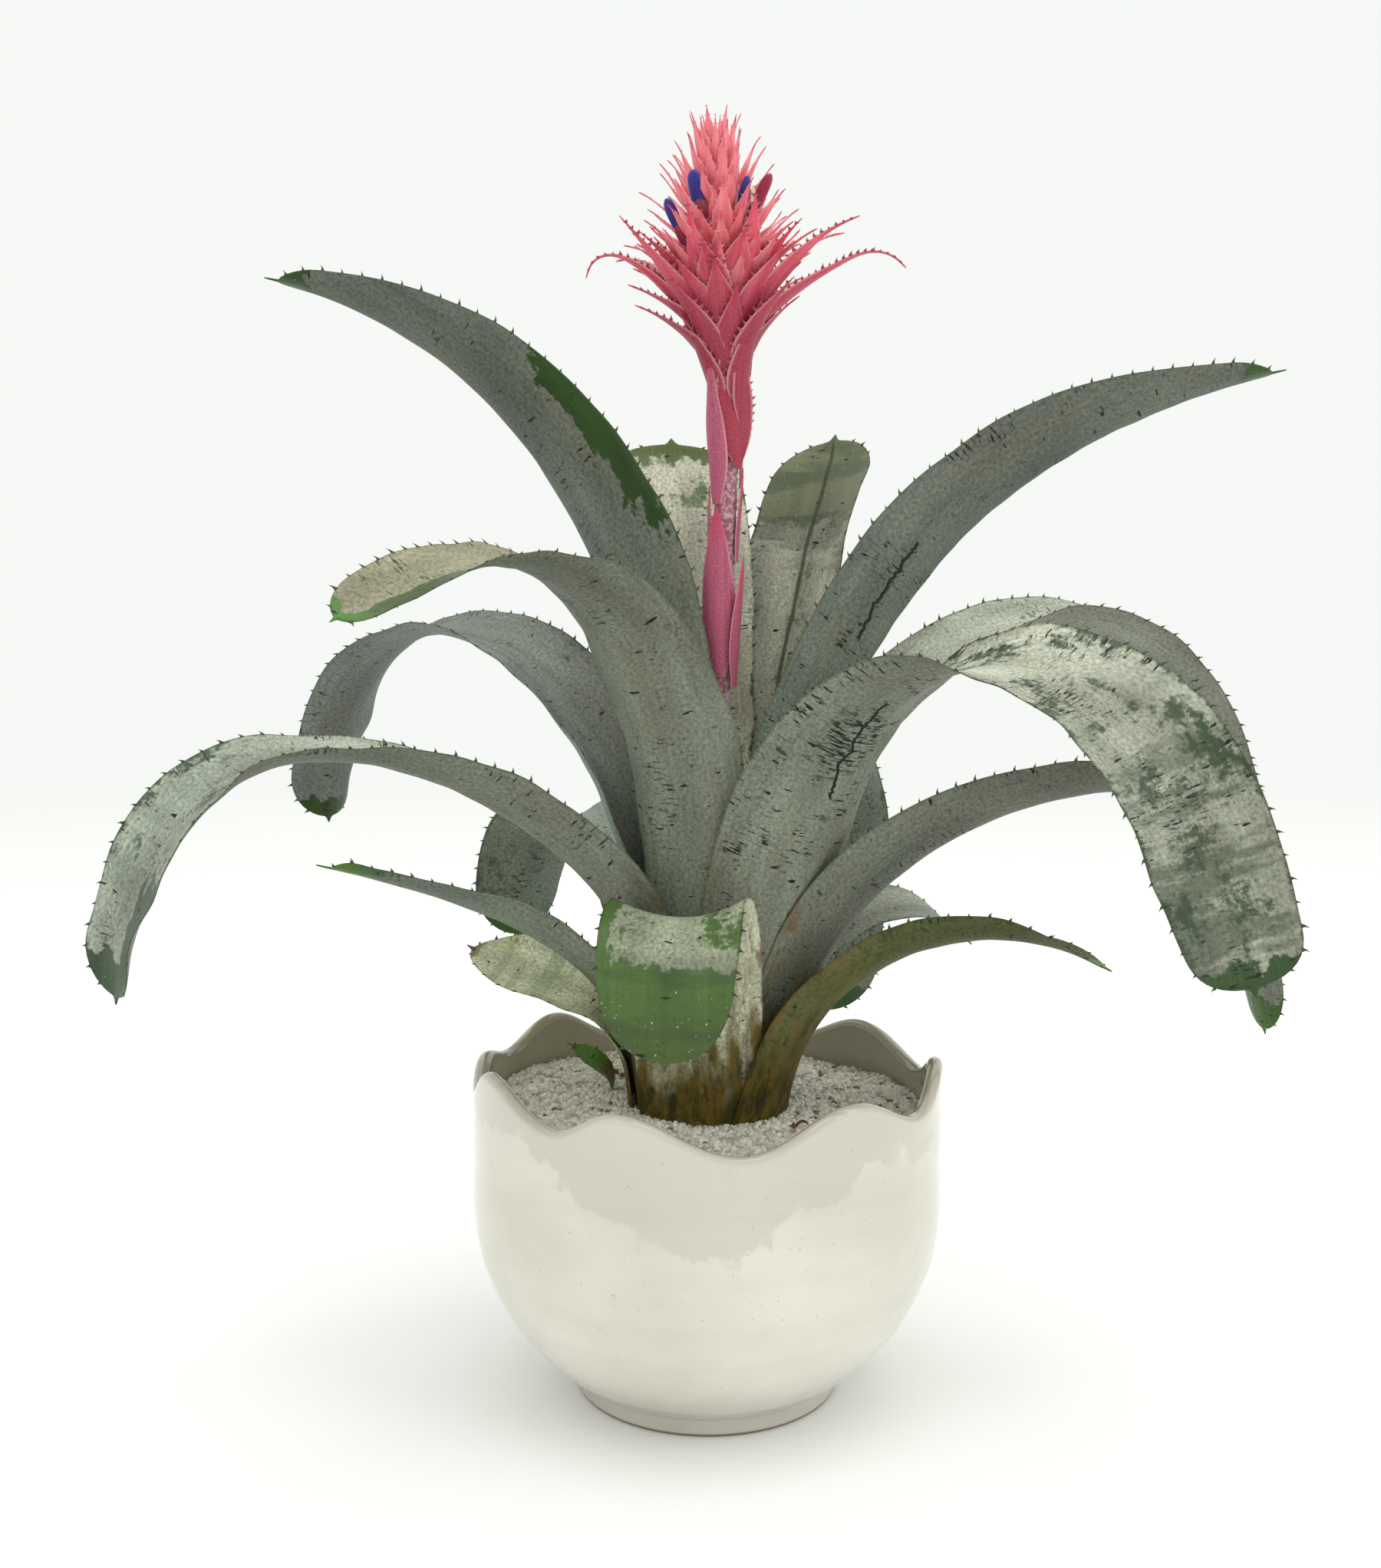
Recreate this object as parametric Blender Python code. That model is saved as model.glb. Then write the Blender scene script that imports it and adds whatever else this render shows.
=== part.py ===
"""Urn plant in flower, potted in a scalloped glazed ceramic pot.

Lengths are in millimetres in this file and become metres where a mesh is made.
The origin is the middle of the pot's foot, on the floor. +Z is up and -Y is the front.
Azimuths are in degrees, from +X (right) over +Y (back), so 270 is the front.
"""
import math

import bmesh
import bpy
import numpy as np
from mathutils import Vector

MM = 0.001

# Pot
POT_RADIUS = 100.0
BELLY_LEVEL = 85.0          # height where the belly becomes an upright wall
BELLY_DEPTH = 94.5          # the belly is a quarter of an ellipse this tall
WALL = 6.5
FOOT_RADIUS = 56.3
FOOT_HEIGHT = 8.0
FOOT_BEVEL = 1.2
FLOOR_LEVEL = 14.0          # inside floor of the pot
# The rim's wave: azimuth and height of each scallop and dip, cut by hand and unequal
RIM = ((15, 132), (42, 143), (66, 131), (92, 143), (116, 132), (138, 146), (158, 136), (174, 141),
       (190, 133), (206, 146), (233, 133), (249, 143), (278, 128.5), (305, 144), (329, 132), (352, 145))
RIM_MIDDLE = 140.0
LIP_ROUND = 1.2
WAVE_FADES_AT = 112.0       # below this height the wall doesn't follow the rim's wave
POT_SEGMENTS = 64

# Filling. The sheaths of the leaves stand in a round hole in the mix and the grit.
SOIL_LEVEL = 111.0
GRIT_LEVEL = 122.5
GRIT_HEAP = 3.0             # the grit lies this much higher at the back left
GRIT_RIPPLE = 0.9
FILLING_CLEARANCE = 1.0
HOLE_RADIUS = 36.0
CROWN_CLEARANCE = 0.6
CROWN_TOP = 105.0
CROWN_HEIGHT = 18.0

# Leaves. The sheaths stand around one another in layers, layer 0 outside.
BUNDLE_RADIUS = 33.0
LAYER_PITCH = 1.8
LEAF_FOOT = CROWN_TOP + 0.5
LEAF_THICKNESS = 1.0
SPINE_LENGTH = 2.4
SPINE_BASE = 2.6
MUCRO = 3.0

# Flower stalk and head
STALK_RADIUS = 4.6
STALK_LEAN = 9.0            # how far right the stalk's top is from the pot's axis
STALK_TOP = 417.0
BRACT_THICKNESS = 0.8
HEAD_TILT = 3.4             # the head leans back over the pot, to the left
HEAD_GAP = 0.8
CORE_HEIGHTS = (0, 12, 28, 42, 55, 70, 88, 104, 110)
CORE_RADII = (5.4, 6.6, 10, 16, 19, 16.5, 11, 5, 2.4)
SOCKET_GAP = 0.35           # around each flower, in the head

GAP = 0.3

SILVER_GREEN = "#8F9A86"
DEEP_GREEN = "#5D7350"
PALE_GREEN = "#A3AB78"
SALMON = "#E2707C"
ROSE = "#C9546F"

LEAVES = (
    dict(name="leaf_low_right", azimuth=340, layer=0, length=190, color=DEEP_GREEN,
         heading=(88, 70, 44, 22, -2, -26), width=(64, 60, 48, 38, 28, 12),
         channel=(33, 36, 28, 24, 20, 16), twist=(0, 0, -10, -20, -20, 0), tip=14),
    dict(name="leaf_yellow", azimuth=171, layer=0, length=122, color=PALE_GREEN,
         heading=(88, 84, 62, 26, 14, 30), width=(38, 34, 42, 46, 40, 26),
         channel=(33, 34, 36, 38, 40, 40), twist=(0, 0, -6, -26, -30, -20), tip=16),
    dict(name="leaf_front", azimuth=260, layer=1, length=184, color=DEEP_GREEN,
         heading=(85, 83, 81, 71, -6, -76, -88), width=(53, 54, 60, 61, 57, 53, 43),
         channel=(31.2, 40, 44, 44, 60, 90, 120), twist=(0, 0, 0, 0, 0, 0, 0), tip=34),
    dict(name="leaf_low_back", azimuth=27, layer=1, length=174, color=SILVER_GREEN,
         heading=(88, 77, 60, 25, -16, -42), width=(34, 34, 34, 32, 30, 24),
         channel=(31.2, 32, 30, 30, 34, 34), twist=(0, 0, 0, 20, 20, 0), tip=20),
    dict(name="leaf_back_left_low", azimuth=126, layer=1, length=256, color=SILVER_GREEN,
         heading=(88, 78, 48, 20, -50, -90), width=(34, 36, 50, 57, 55, 46),
         channel=(31.2, 34, 36, 40, 50, 60), twist=(0, 0, 0, 0, 0, 0), tip=26),
    dict(name="leaf_small_left", azimuth=190, layer=2, length=196, color=SILVER_GREEN,
         heading=(88, 78, 46, 28, 18, 14), width=(38, 38, 40, 36, 26, 12),
         channel=(29.4, 29, 24, 20, 20, 14), twist=(0, 0, 10, 20, 20, 10), tip=14),
    dict(name="leaf_side_right", azimuth=348, layer=2, length=281, color=SILVER_GREEN,
         heading=(88, 73, 49, 27, 6, -18), width=(48, 50, 52, 46, 42, 34),
         channel=(29.4, 28, 22, 22, 26, 34), twist=(0, 0, -15, -25, -15, 0), tip=24),
    dict(name="leaf_low_left", azimuth=203, layer=3, length=374, color=SILVER_GREEN,
         heading=(88, 84, 46, 26, -1, -55, -86), width=(56, 56, 58, 54, 50, 48, 40),
         channel=(27.6, 28, 28, 30, 40, 40, 40), twist=(0, 0, 5, 5, -5, -20, -20), tip=20),
    dict(name="leaf_back_right_low", azimuth=67, layer=3, length=358, color=SILVER_GREEN,
         heading=(88, 74, 52, -24, -90, -104), width=(52, 52, 56, 62, 60, 50),
         channel=(27.6, 28, 30, 40, 60, 60), twist=(0, 0, 0, 0, 0, 0), tip=28),
    dict(name="leaf_big_right", azimuth=319, layer=4, length=413, color=SILVER_GREEN,
         heading=(86, 82, 65, 36, -12, -58, -74), width=(54, 56, 62, 56, 52, 50, 42),
         channel=(25.8, 27, 28, 30, 50, 90, 120), twist=(0, 0, -10, 0, 25, 38, 38), tip=26),
    dict(name="leaf_arch_left", azimuth=150, layer=5, length=406, color=SILVER_GREEN,
         heading=(88, 87, 69, 44, 4, -52, -88), width=(44, 48, 60, 54, 50, 48, 44),
         channel=(24, 24, 26, 32, 40, 40, 40), twist=(0, 0, -10, -15, -10, 0, 0), tip=22),
    dict(name="leaf_arch_right", azimuth=18, layer=5, length=518, color=SILVER_GREEN,
         heading=(88, 81, 57, 15, -41, -75, -86), width=(46, 54, 58, 54, 54, 50, 40),
         channel=(24, 24, 26, 28, 34, 34, 30), twist=(0, 0, 10, 10, 0, 0, 0), tip=24),
    dict(name="leaf_centre_left", azimuth=236, layer=6, length=377, color=SILVER_GREEN,
         heading=(88, 88, 77, 43, -2, -27), width=(40, 48, 72, 62, 44, 22),
         channel=(22.2, 23, 28, 28, 26, 24), twist=(0, 0, 0, 0, -10, -40), tip=16),
    dict(name="leaf_upper_right", azimuth=357, layer=7, length=424, color=SILVER_GREEN,
         heading=(88, 86, 65, 54, 28, 12), width=(42, 48, 66, 66, 50, 16),
         channel=(20.4, 21, 24, 24, 20, 14), twist=(0, 0, -15, -30, -30, -10), tip=16),
    dict(name="leaf_upper_left", azimuth=182, layer=8, length=434, color=SILVER_GREEN,
         heading=(88, 89, 84, 65, 39, 12), width=(40, 44, 64, 68, 52, 16),
         channel=(18.6, 21, 30, 26, 22, 14), twist=(0, 13, 37, 38, 30, 10), tip=16),
    dict(name="leaf_back_right", azimuth=40, layer=9, length=311, color=SILVER_GREEN,
         heading=(88, 88, 81, 75, 73, 72), width=(36, 40, 58, 66, 66, 62),
         channel=(16.8, 17, 22, 30, 60, 120), twist=(0, 0, 0, 0, 0, 0), tip=20),
    dict(name="leaf_back_left", azimuth=105, layer=11, length=310, color=SILVER_GREEN,
         heading=(88, 88, 84, 78, 74, 70), width=(30, 34, 44, 58, 64, 60),
         channel=(13.2, 14, 20, 32, 60, 120), twist=(0, 0, 0, 0, 0, 0), tip=18),
)

# A young leaf's stub that dried off, standing alone in the grit
STUB_PLACE = (-42, 12, 125.3)
STUB = dict(length=26, heading=(88, 52, 34, 30), width=(8, 11, 9, 4), channel=(9, 12, 12, 12),
            twist=(0, -25, -45, -45), tip=5)

# Bracts on the stalk: foot is the height where each one clasps it.
STALK_BRACTS = (
    dict(name="stalk_bract_1", azimuth=258, foot=305, length=70, heading=(89, 89, 87, 87),
         width=(9, 13, 12, 4), channel=(6, 8, 9, 8), twist=(0, 0, 0, 0), tip=8),
    dict(name="stalk_bract_2", azimuth=328, foot=301, length=52, heading=(88, 86, 84, 86),
         width=(6, 8, 8, 4), channel=(7.5, 8, 8, 8), twist=(0, 0, 0, 0), tip=6, out=1.6),
    dict(name="stalk_bract_3", azimuth=190, foot=350, length=32, heading=(84, 88, 92, 92),
         width=(5, 7, 6, 3), channel=(6, 7, 8, 8), twist=(0, 0, 0, 0), tip=5),
    dict(name="stalk_bract_4", azimuth=345, foot=353, length=36, heading=(88, 86, 86, 86),
         width=(5, 6, 5, 3), channel=(6, 7, 8, 8), twist=(0, 0, 0, 0), tip=5),
    dict(name="stalk_bract_5", azimuth=225, foot=377, length=62, heading=(86, 86, 86, 86),
         width=(9, 12, 8, 3), channel=(6, 7, 8, 8), twist=(0, 0, 0, 0), tip=8),
    dict(name="stalk_bract_6", azimuth=5, foot=384, length=26, heading=(84, 86, 88, 88),
         width=(4, 5, 4, 3), channel=(6, 7, 8, 8), twist=(0, 0, 0, 0), tip=5),
)

# Long bracts below the flower clusters: foot is measured from the foot of the head.
HEAD_BRACTS = (
    dict(azimuth=352, foot=20, length=86, heading=(60, 42, 28, 18, -50), width=14),
    dict(azimuth=333, foot=26, length=66, heading=(58, 46, 34, 10), width=15),
    dict(azimuth=26, foot=34, length=62, heading=(60, 48, 36, 12), width=13),
    dict(azimuth=212, foot=22, length=62, heading=(64, 56, 50, 42), width=16),
    dict(azimuth=184, foot=26, length=69, heading=(64, 52, 44, 24, -70), width=14),
    dict(azimuth=168, foot=6, length=66, heading=(72, 66, 62, 62), width=11),
    dict(azimuth=272, foot=4, length=60, heading=(88, 86, 76, 70), width=18),
    dict(azimuth=322, foot=-8, length=64, heading=(89, 88, 80, 76), width=14),
    dict(azimuth=298, foot=38, length=44, heading=(60, 60, 68, 78), width=18),
    dict(azimuth=244, foot=30, length=50, heading=(64, 62, 70, 80), width=17),
    dict(azimuth=60, foot=26, length=72, heading=(64, 50, 36, 10), width=15),
    dict(azimuth=98, foot=10, length=70, heading=(76, 64, 50, 30), width=16),
    dict(azimuth=136, foot=28, length=70, heading=(64, 50, 36, 4), width=15),
)

CLUSTER_BRACTS = 54
GOLDEN_ANGLE = 137.5

# Flowers that stick out of the head: azimuth, foot radius, foot height in the head, lean
# from upright, length and radius.
FLOWERS = (
    ("flower_blue_1", "#33308F", 230, 9.0, 67, 14, 26, 3.3),
    ("flower_blue_2", "#33308F", 205, 11.0, 60, 28, 25, 2.5),
    ("flower_blue_3", "#33308F", 318, 8.0, 66, 28, 24, 2.2),
    ("flower_red", "#8E1F38", 348, 8.0, 70, 34, 24, 2.4),
)


def clear_scene():
    for item in list(bpy.data.objects):
        bpy.data.objects.remove(item, do_unlink=True)


def linear(channel):
    return channel / 12.92 if channel <= 0.04045 else ((channel + 0.055) / 1.055) ** 2.4


def material(name, color, roughness, metallic=0.0):
    mat = bpy.data.materials.new(name)
    mat.use_nodes = True
    shader = mat.node_tree.nodes["Principled BSDF"]
    rgb = [linear(int(color[k:k + 2], 16) / 255) for k in (1, 3, 5)]
    shader.inputs["Base Color"].default_value = (*rgb, 1.0)
    shader.inputs["Roughness"].default_value = roughness
    shader.inputs["Metallic"].default_value = metallic
    return mat


def mesh_object(name, points, faces, mat, parent=None):
    """One object from points in millimetres. Its faces are turned to face out."""
    bm = bmesh.new()
    verts = [bm.verts.new(Vector(p) * MM) for p in points]
    for face in faces:
        bm.faces.new([verts[k] for k in face])
    bmesh.ops.recalc_face_normals(bm, faces=bm.faces)
    mesh = bpy.data.meshes.new(name)
    bm.to_mesh(mesh)
    bm.free()
    mesh.materials.append(mat)
    item = bpy.data.objects.new(name, mesh)
    bpy.context.collection.objects.link(item)
    item.parent = parent
    mesh.shade_smooth()
    mesh.set_sharp_from_angle(angle=math.radians(40))
    return item


def spread(values, u):
    """Read a smooth curve through equally spaced values at u, from 0 to 1."""
    v = np.asarray(values, float)
    spans = len(v) - 1
    x = np.clip(np.asarray(u, float) * spans, 0, spans)
    k = np.minimum(x.astype(int), spans - 1)
    t = x - k
    p = np.concatenate([[2 * v[0] - v[1]], v, [2 * v[-1] - v[-2]]])
    a, b, c, d = p[k], p[k + 1], p[k + 2], p[k + 3]
    return b + 0.5 * t * (c - a + t * (2 * a - 5 * b + 4 * c - d + t * (3 * (b - c) + d - a)))


def lathe(rings, segments, lift=None):
    """Points and faces of a closed turned solid.

    rings is a list of (radius, height, share), from the middle of the underside, up the
    outside, to the middle of the top or the inside floor. lift(azimuth) is added to a
    ring's height in its share.
    """
    points, faces = [], []
    angles = [2 * math.pi * k / segments for k in range(segments)]
    for radius, height, share in rings:
        for angle in angles:
            raised = height + (lift(math.degrees(angle)) * share if share else 0.0)
            points.append((radius * math.cos(angle), radius * math.sin(angle), raised))
    for i in range(len(rings) - 1):
        low, high = i * segments, (i + 1) * segments
        for k in range(segments):
            m = (k + 1) % segments
            faces.append((low + k, low + m, high + m, high + k))
    return points, faces


def capped(rings, segments, lift=None):
    """A lathe whose first and last rings are closed with flat faces."""
    points, faces = lathe(rings, segments, lift)
    last = (len(rings) - 1) * segments
    faces.append(tuple(reversed(range(segments))))
    faces.append(tuple(range(last, last + segments)))
    return points, faces


# Pot

def outer_radius(z):
    if z >= BELLY_LEVEL:
        return POT_RADIUS
    return POT_RADIUS * math.sqrt(1 - ((BELLY_LEVEL - z) / BELLY_DEPTH) ** 2)


def inner_radius(z):
    """The wall thickens a little towards the foot."""
    return outer_radius(z) - WALL * (1.15 if z <= 40 else 1)


def rim_height(azimuth):
    """Height of the hand-cut rim, a soft wave through its unequal scallops and dips."""
    round_trip = ((RIM[-1][0] - 360, RIM[-1][1]), *RIM, (RIM[0][0] + 360, RIM[0][1]))
    for (start, low), (end, high) in zip(round_trip, round_trip[1:]):
        if start <= azimuth <= end:
            return low + (high - low) * (0.5 - 0.5 * math.cos(math.pi * (azimuth - start) / (end - start)))
    return RIM[-1][1]


def make_pot(parent):
    glaze = material("cream_glaze", "#DCD8CC", 0.18)
    rings = [(FOOT_RADIUS - FOOT_BEVEL, 0, 0), (FOOT_RADIUS, FOOT_BEVEL, 0),
             (FOOT_RADIUS, FOOT_HEIGHT - FOOT_BEVEL, 0)]
    rings += [(outer_radius(z), z, 0) for z in (FOOT_HEIGHT + 0.5, 14, 23, 36, 54, 80, WAVE_FADES_AT)]
    outside, inside = POT_RADIUS, POT_RADIUS - WALL
    shoulder, lip = RIM_MIDDLE - 3 * LIP_ROUND, RIM_MIDDLE - LIP_ROUND / 2
    rings += [(outside, 128, 0.4), (outside, shoulder, 1), (outside - LIP_ROUND, lip, 1),
              (inside + LIP_ROUND, lip, 1), (inside, shoulder, 1), (inside, 124, 0.3)]
    rings += [(inner_radius(z), z, 0) for z in (108, 70, 40, 20)]
    rings.append((inner_radius(20) - 10, FLOOR_LEVEL, 0))
    points, faces = capped(rings, POT_SEGMENTS, lambda azimuth: rim_height(azimuth) - RIM_MIDDLE)
    return mesh_object("pot", points, faces, glaze, parent)


def grit_heap(azimuth):
    """How much higher than its level the grit lies towards an azimuth."""
    slope = GRIT_HEAP * math.cos(math.radians(azimuth - 150))
    return slope + GRIT_RIPPLE * math.sin(math.radians(5 * azimuth))


def make_filling(parent):
    soil = material("potting_mix", "#3B2E24", 0.95)
    rings = [(inner_radius(20) - 12, FLOOR_LEVEL + 0.5, 0)]
    rings += [(inner_radius(z) - FILLING_CLEARANCE, z, 0) for z in (21, 40, 70, 108, SOIL_LEVEL)]
    rings += [(HOLE_RADIUS, SOIL_LEVEL, 0), (HOLE_RADIUS, CROWN_TOP - CROWN_HEIGHT - GAP, 0)]
    mesh_object("potting_mix", *capped(rings, 32), soil, parent)

    grit = material("white_grit", "#CFCCC4", 0.9)
    edge = POT_RADIUS - WALL - FILLING_CLEARANCE
    rings = [(HOLE_RADIUS, SOIL_LEVEL + GAP, 0), (edge, SOIL_LEVEL + GAP, 0), (edge, GRIT_LEVEL, 0.9),
             (80, GRIT_LEVEL - 0.4, 1), (58, GRIT_LEVEL + 0.6, 0.8),
             (HOLE_RADIUS + 3, GRIT_LEVEL + 0.4, 0.3), (HOLE_RADIUS, GRIT_LEVEL - 1, 0.2)]
    around = 40
    points, faces = lathe(rings, around, grit_heap)
    last = (len(rings) - 1) * around
    for k in range(around):
        m = (k + 1) % around
        faces.append((last + k, last + m, m, k))
    mesh_object("grit_layer", points, faces, grit, parent)

    fibre = material("crown", "#6E5B3C", 0.8)
    side = HOLE_RADIUS - CROWN_CLEARANCE
    rings = [(side - 2.4, CROWN_TOP - CROWN_HEIGHT, 0), (side, CROWN_TOP - 14, 0), (side, CROWN_TOP, 0)]
    mesh_object("crown", *capped(rings, 24), fibre, parent)


# Leaves

def leaf_route(heading, reach, foot, length, u):
    """Reach and height of the midrib at u, walked in the leaf's own upright plane."""
    fine = np.linspace(0, 1, 241)
    angle = np.radians(spread(heading, fine))
    step = length / 240
    run = np.concatenate([[0], np.cumsum((np.cos(angle[1:]) + np.cos(angle[:-1])) / 2 * step)])
    rise = np.concatenate([[0], np.cumsum((np.sin(angle[1:]) + np.sin(angle[:-1])) / 2 * step)])
    return np.interp(u, fine, reach + run), np.interp(u, fine, foot + rise), np.interp(u, fine, angle)


def leaf_stations(length, tip, spacing):
    """Places along the leaf, close together only where the tip rounds off."""
    body = max(4, round((length - tip) / spacing))
    end = 1 - tip / length
    return [end * k / body for k in range(body + 1)] + [end + (1 - end) * q for q in (0.45, 0.8, 0.97)]


def leaf_solid(spec, reach, foot, thickness=LEAF_THICKNESS, columns=6, spacing=28.0, spine=SPINE_LENGTH):
    """Points and faces of an arched, channelled leaf that leaves the axis along +X.

    heading is the midrib's climb in degrees at equal steps from foot to tip, width and
    channel are the blade's width and its channel's radius there, twist rolls the blade.
    """
    length = spec["length"]
    u = np.array(leaf_stations(length, spec["tip"], spacing))
    x, z, angle = leaf_route(spec["heading"], reach, foot, length, u)
    along = np.stack([np.cos(angle), 0 * angle, np.sin(angle)], 1)
    side = np.tile([0.0, 1.0, 0.0], (len(u), 1))
    upper = np.cross(along, side)
    roll = np.radians(spread(spec["twist"], u))[:, None]
    side, upper = np.cos(roll) * side + np.sin(roll) * upper, np.cos(roll) * upper - np.sin(roll) * side
    blunt = np.clip((u - 1 + spec["tip"] / length) / (spec["tip"] / length), 0, 1)
    width = spread(spec["width"], u) * np.sqrt(np.clip(1 - blunt ** 2.2, 0.02, 1))
    bend = spread([1 / r for r in spec["channel"]], u)

    rows = len(u)
    places = np.linspace(-1, 1, columns + 1)
    top = np.zeros((rows, columns + 1, 3))
    bottom = np.zeros_like(top)
    for i in range(rows):
        middle = np.array([x[i], 0.0, z[i]])
        for j, v in enumerate(places):
            turn = bend[i] * width[i] / 2 * v
            point = middle + side[i] * math.sin(turn) / bend[i] + upper[i] * (1 - math.cos(turn)) / bend[i]
            normal = upper[i] * math.cos(turn) - side[i] * math.sin(turn)
            top[i, j] = point + normal * thickness / 2
            bottom[i, j] = point - normal * thickness / 2

    points = [tuple(p) for p in top.reshape(-1, 3)] + [tuple(p) for p in bottom.reshape(-1, 3)]
    stride = columns + 1
    under = rows * stride
    faces = []

    def at(i, j, layer=0):
        return i * stride + j + layer * under

    def add(point):
        points.append(tuple(point))
        return len(points) - 1

    def margin(i, edge, inner):
        """One stretch of margin, with a hooked spine where the blade stands free."""
        ids = []
        cut = SPINE_BASE / np.linalg.norm(top[i + 1, edge] - top[i, edge])
        free = spine > 0 and spec.get("free", 0.28) < u[i] and i < rows - 4
        for layer, sheet in ((0, top), (1, bottom)):
            start, end = sheet[i, edge], sheet[i + 1, edge]
            chain = [at(i, edge, layer)]
            if free:
                chain += [add(start + (end - start) * 0.4), add(start + (end - start) * (0.4 + cut))]
            chain.append(at(i + 1, edge, layer))
            p, q = at(i, inner, layer), at(i + 1, inner, layer)
            if free:
                faces.extend([(p, chain[0], chain[1]), (p, chain[1], chain[2]),
                              (p, chain[2], q), (q, chain[2], chain[3])])
            else:
                faces.extend([(p, chain[0], chain[1]), (p, chain[1], q)])
            ids.append(chain)
        if not free:
            faces.append((ids[0][0], ids[0][1], ids[1][1], ids[1][0]))
            return
        out = (top[i, edge] + bottom[i, edge]) / 2 - (top[i, inner] + bottom[i, inner]) / 2
        run = (top[i + 1, edge] - top[i, edge]) / np.linalg.norm(top[i + 1, edge] - top[i, edge])
        out = out / np.linalg.norm(out)
        base = (np.array(points[ids[0][2]]) + np.array(points[ids[1][2]])) / 2
        apex = add(base + out * spine + run * 0.8)
        a, b, c, d = ids[0][1], ids[0][2], ids[1][2], ids[1][1]
        faces.extend([(a, b, apex), (b, c, apex), (c, d, apex), (d, a, apex)])
        faces.append((ids[0][0], a, d, ids[1][0]))
        faces.append((b, ids[0][3], ids[1][3], c))

    for i in range(rows - 1):
        for j in range(1, columns - 1):
            for layer in (0, 1):
                a, b = at(i, j, layer), at(i + 1, j, layer)
                c, d = at(i + 1, j + 1, layer), at(i, j + 1, layer)
                faces.extend([(a, b, c), (a, c, d)])
        margin(i, 0, 1)
        margin(i, columns, columns - 1)
    for j in range(columns):
        faces.append((at(0, j), at(0, j + 1), at(0, j + 1, 1), at(0, j, 1)))
    end = top[-1].mean(0) / 2 + bottom[-1].mean(0) / 2
    mucro = add(end + along[-1] * spec.get("mucro", MUCRO))
    last = rows - 1
    loop = [at(last, j) for j in range(stride)] + [at(last, j, 1) for j in reversed(range(stride))]
    for a, b in zip(loop, loop[1:] + loop[:1]):
        faces.append((a, b, mucro))
    return points, faces


def make_leaves(parent):
    mats = {}
    for spec in LEAVES:
        color = spec["color"]
        if color not in mats:
            mats[color] = material("leaf_" + color[1:], color, 0.55)
        reach = BUNDLE_RADIUS - spec["layer"] * LAYER_PITCH
        points, faces = leaf_solid(spec, reach, LEAF_FOOT)
        item = mesh_object(spec["name"], points, faces, mats[color], parent)
        item.rotation_euler.z = math.radians(spec["azimuth"])
    points, faces = leaf_solid(STUB, 0, 0, columns=4, spacing=8, spine=0)
    stub = mesh_object("stub_leaf", points, faces, material("stub", DEEP_GREEN, 0.6), parent)
    stub.location = Vector(STUB_PLACE) * MM
    stub.rotation_euler.z = math.pi


# Flower stalk and head

def stalk_offset(z):
    """How far right of the pot's axis the leaning stalk is at height z."""
    return STALK_LEAN * ((z - CROWN_TOP) / (STALK_TOP - CROWN_TOP)) ** 1.2


def make_stalk(parent):
    fuzz = material("stalk_fuzz", "#C9BCC0", 0.9)
    rose = material("stalk_bract", ROSE, 0.5)
    rings, sides = 9, 10
    points, faces = [], []
    for i in range(rings):
        z = LEAF_FOOT + (STALK_TOP - LEAF_FOOT) * i / (rings - 1)
        for k in range(sides):
            angle = 2 * math.pi * k / sides
            points.append((stalk_offset(z) + STALK_RADIUS * math.cos(angle),
                           STALK_RADIUS * math.sin(angle), z))
    for i in range(rings - 1):
        for k in range(sides):
            m = (k + 1) % sides
            faces.append((i * sides + k, i * sides + m, (i + 1) * sides + m, (i + 1) * sides + k))
    faces += [tuple(reversed(range(sides))), tuple(range((rings - 1) * sides, rings * sides))]
    mesh_object("flower_stalk", points, faces, fuzz, parent)
    for spec in STALK_BRACTS:
        spec = dict(spec, free=0.3, mucro=2.0)
        reach = STALK_RADIUS + 1.1 + spec.get("out", 0)
        points, faces = leaf_solid(spec, reach, 0, BRACT_THICKNESS, columns=4, spacing=16, spine=1)
        item = mesh_object(spec["name"], points, faces, rose, parent)
        item.location = (stalk_offset(spec["foot"]) * MM, 0, spec["foot"] * MM)
        item.rotation_euler.z = math.radians(spec["azimuth"])


def core_radius(z):
    """Radius of the head's solid middle at height z above its foot."""
    return float(np.interp(z, CORE_HEIGHTS, CORE_RADII))


def bract_solid(heading, reach, foot, length, width, rows, thickness=1.6):
    """A keeled bract that tapers to a point: four corners a ring, then the tip."""
    u = np.linspace(0, 1, rows + 1)
    x, z, angle = leaf_route(heading, reach, foot, length, u)
    points, faces = [], []
    for i in range(rows):
        half = width / 2 * (0.55 + 0.45 * min(1, u[i] / 0.3)) * (1 - max(0, u[i] - 0.3) / 0.7) ** 0.8
        body = thickness / 2 * (1 - 0.6 * u[i])
        lift = 0.35 * half
        back = (-math.sin(angle[i]), math.cos(angle[i]))
        for across, up in ((-half, lift), (0, body), (half, lift), (0, -body)):
            points.append((x[i] + back[0] * up, across, z[i] + back[1] * up))
    for i in range(rows - 1):
        for k in range(4):
            m = (k + 1) % 4
            a, b, c, d = i * 4 + k, i * 4 + m, i * 4 + 4 + m, i * 4 + 4 + k
            faces += [(a, b, c), (a, c, d)]
    points.append((x[rows], 0.0, z[rows]))
    last = (rows - 1) * 4
    faces += [(last + k, last + (k + 1) % 4, rows * 4) for k in range(4)]
    faces += [(0, 1, 3), (1, 2, 3)]
    return points, faces


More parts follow.
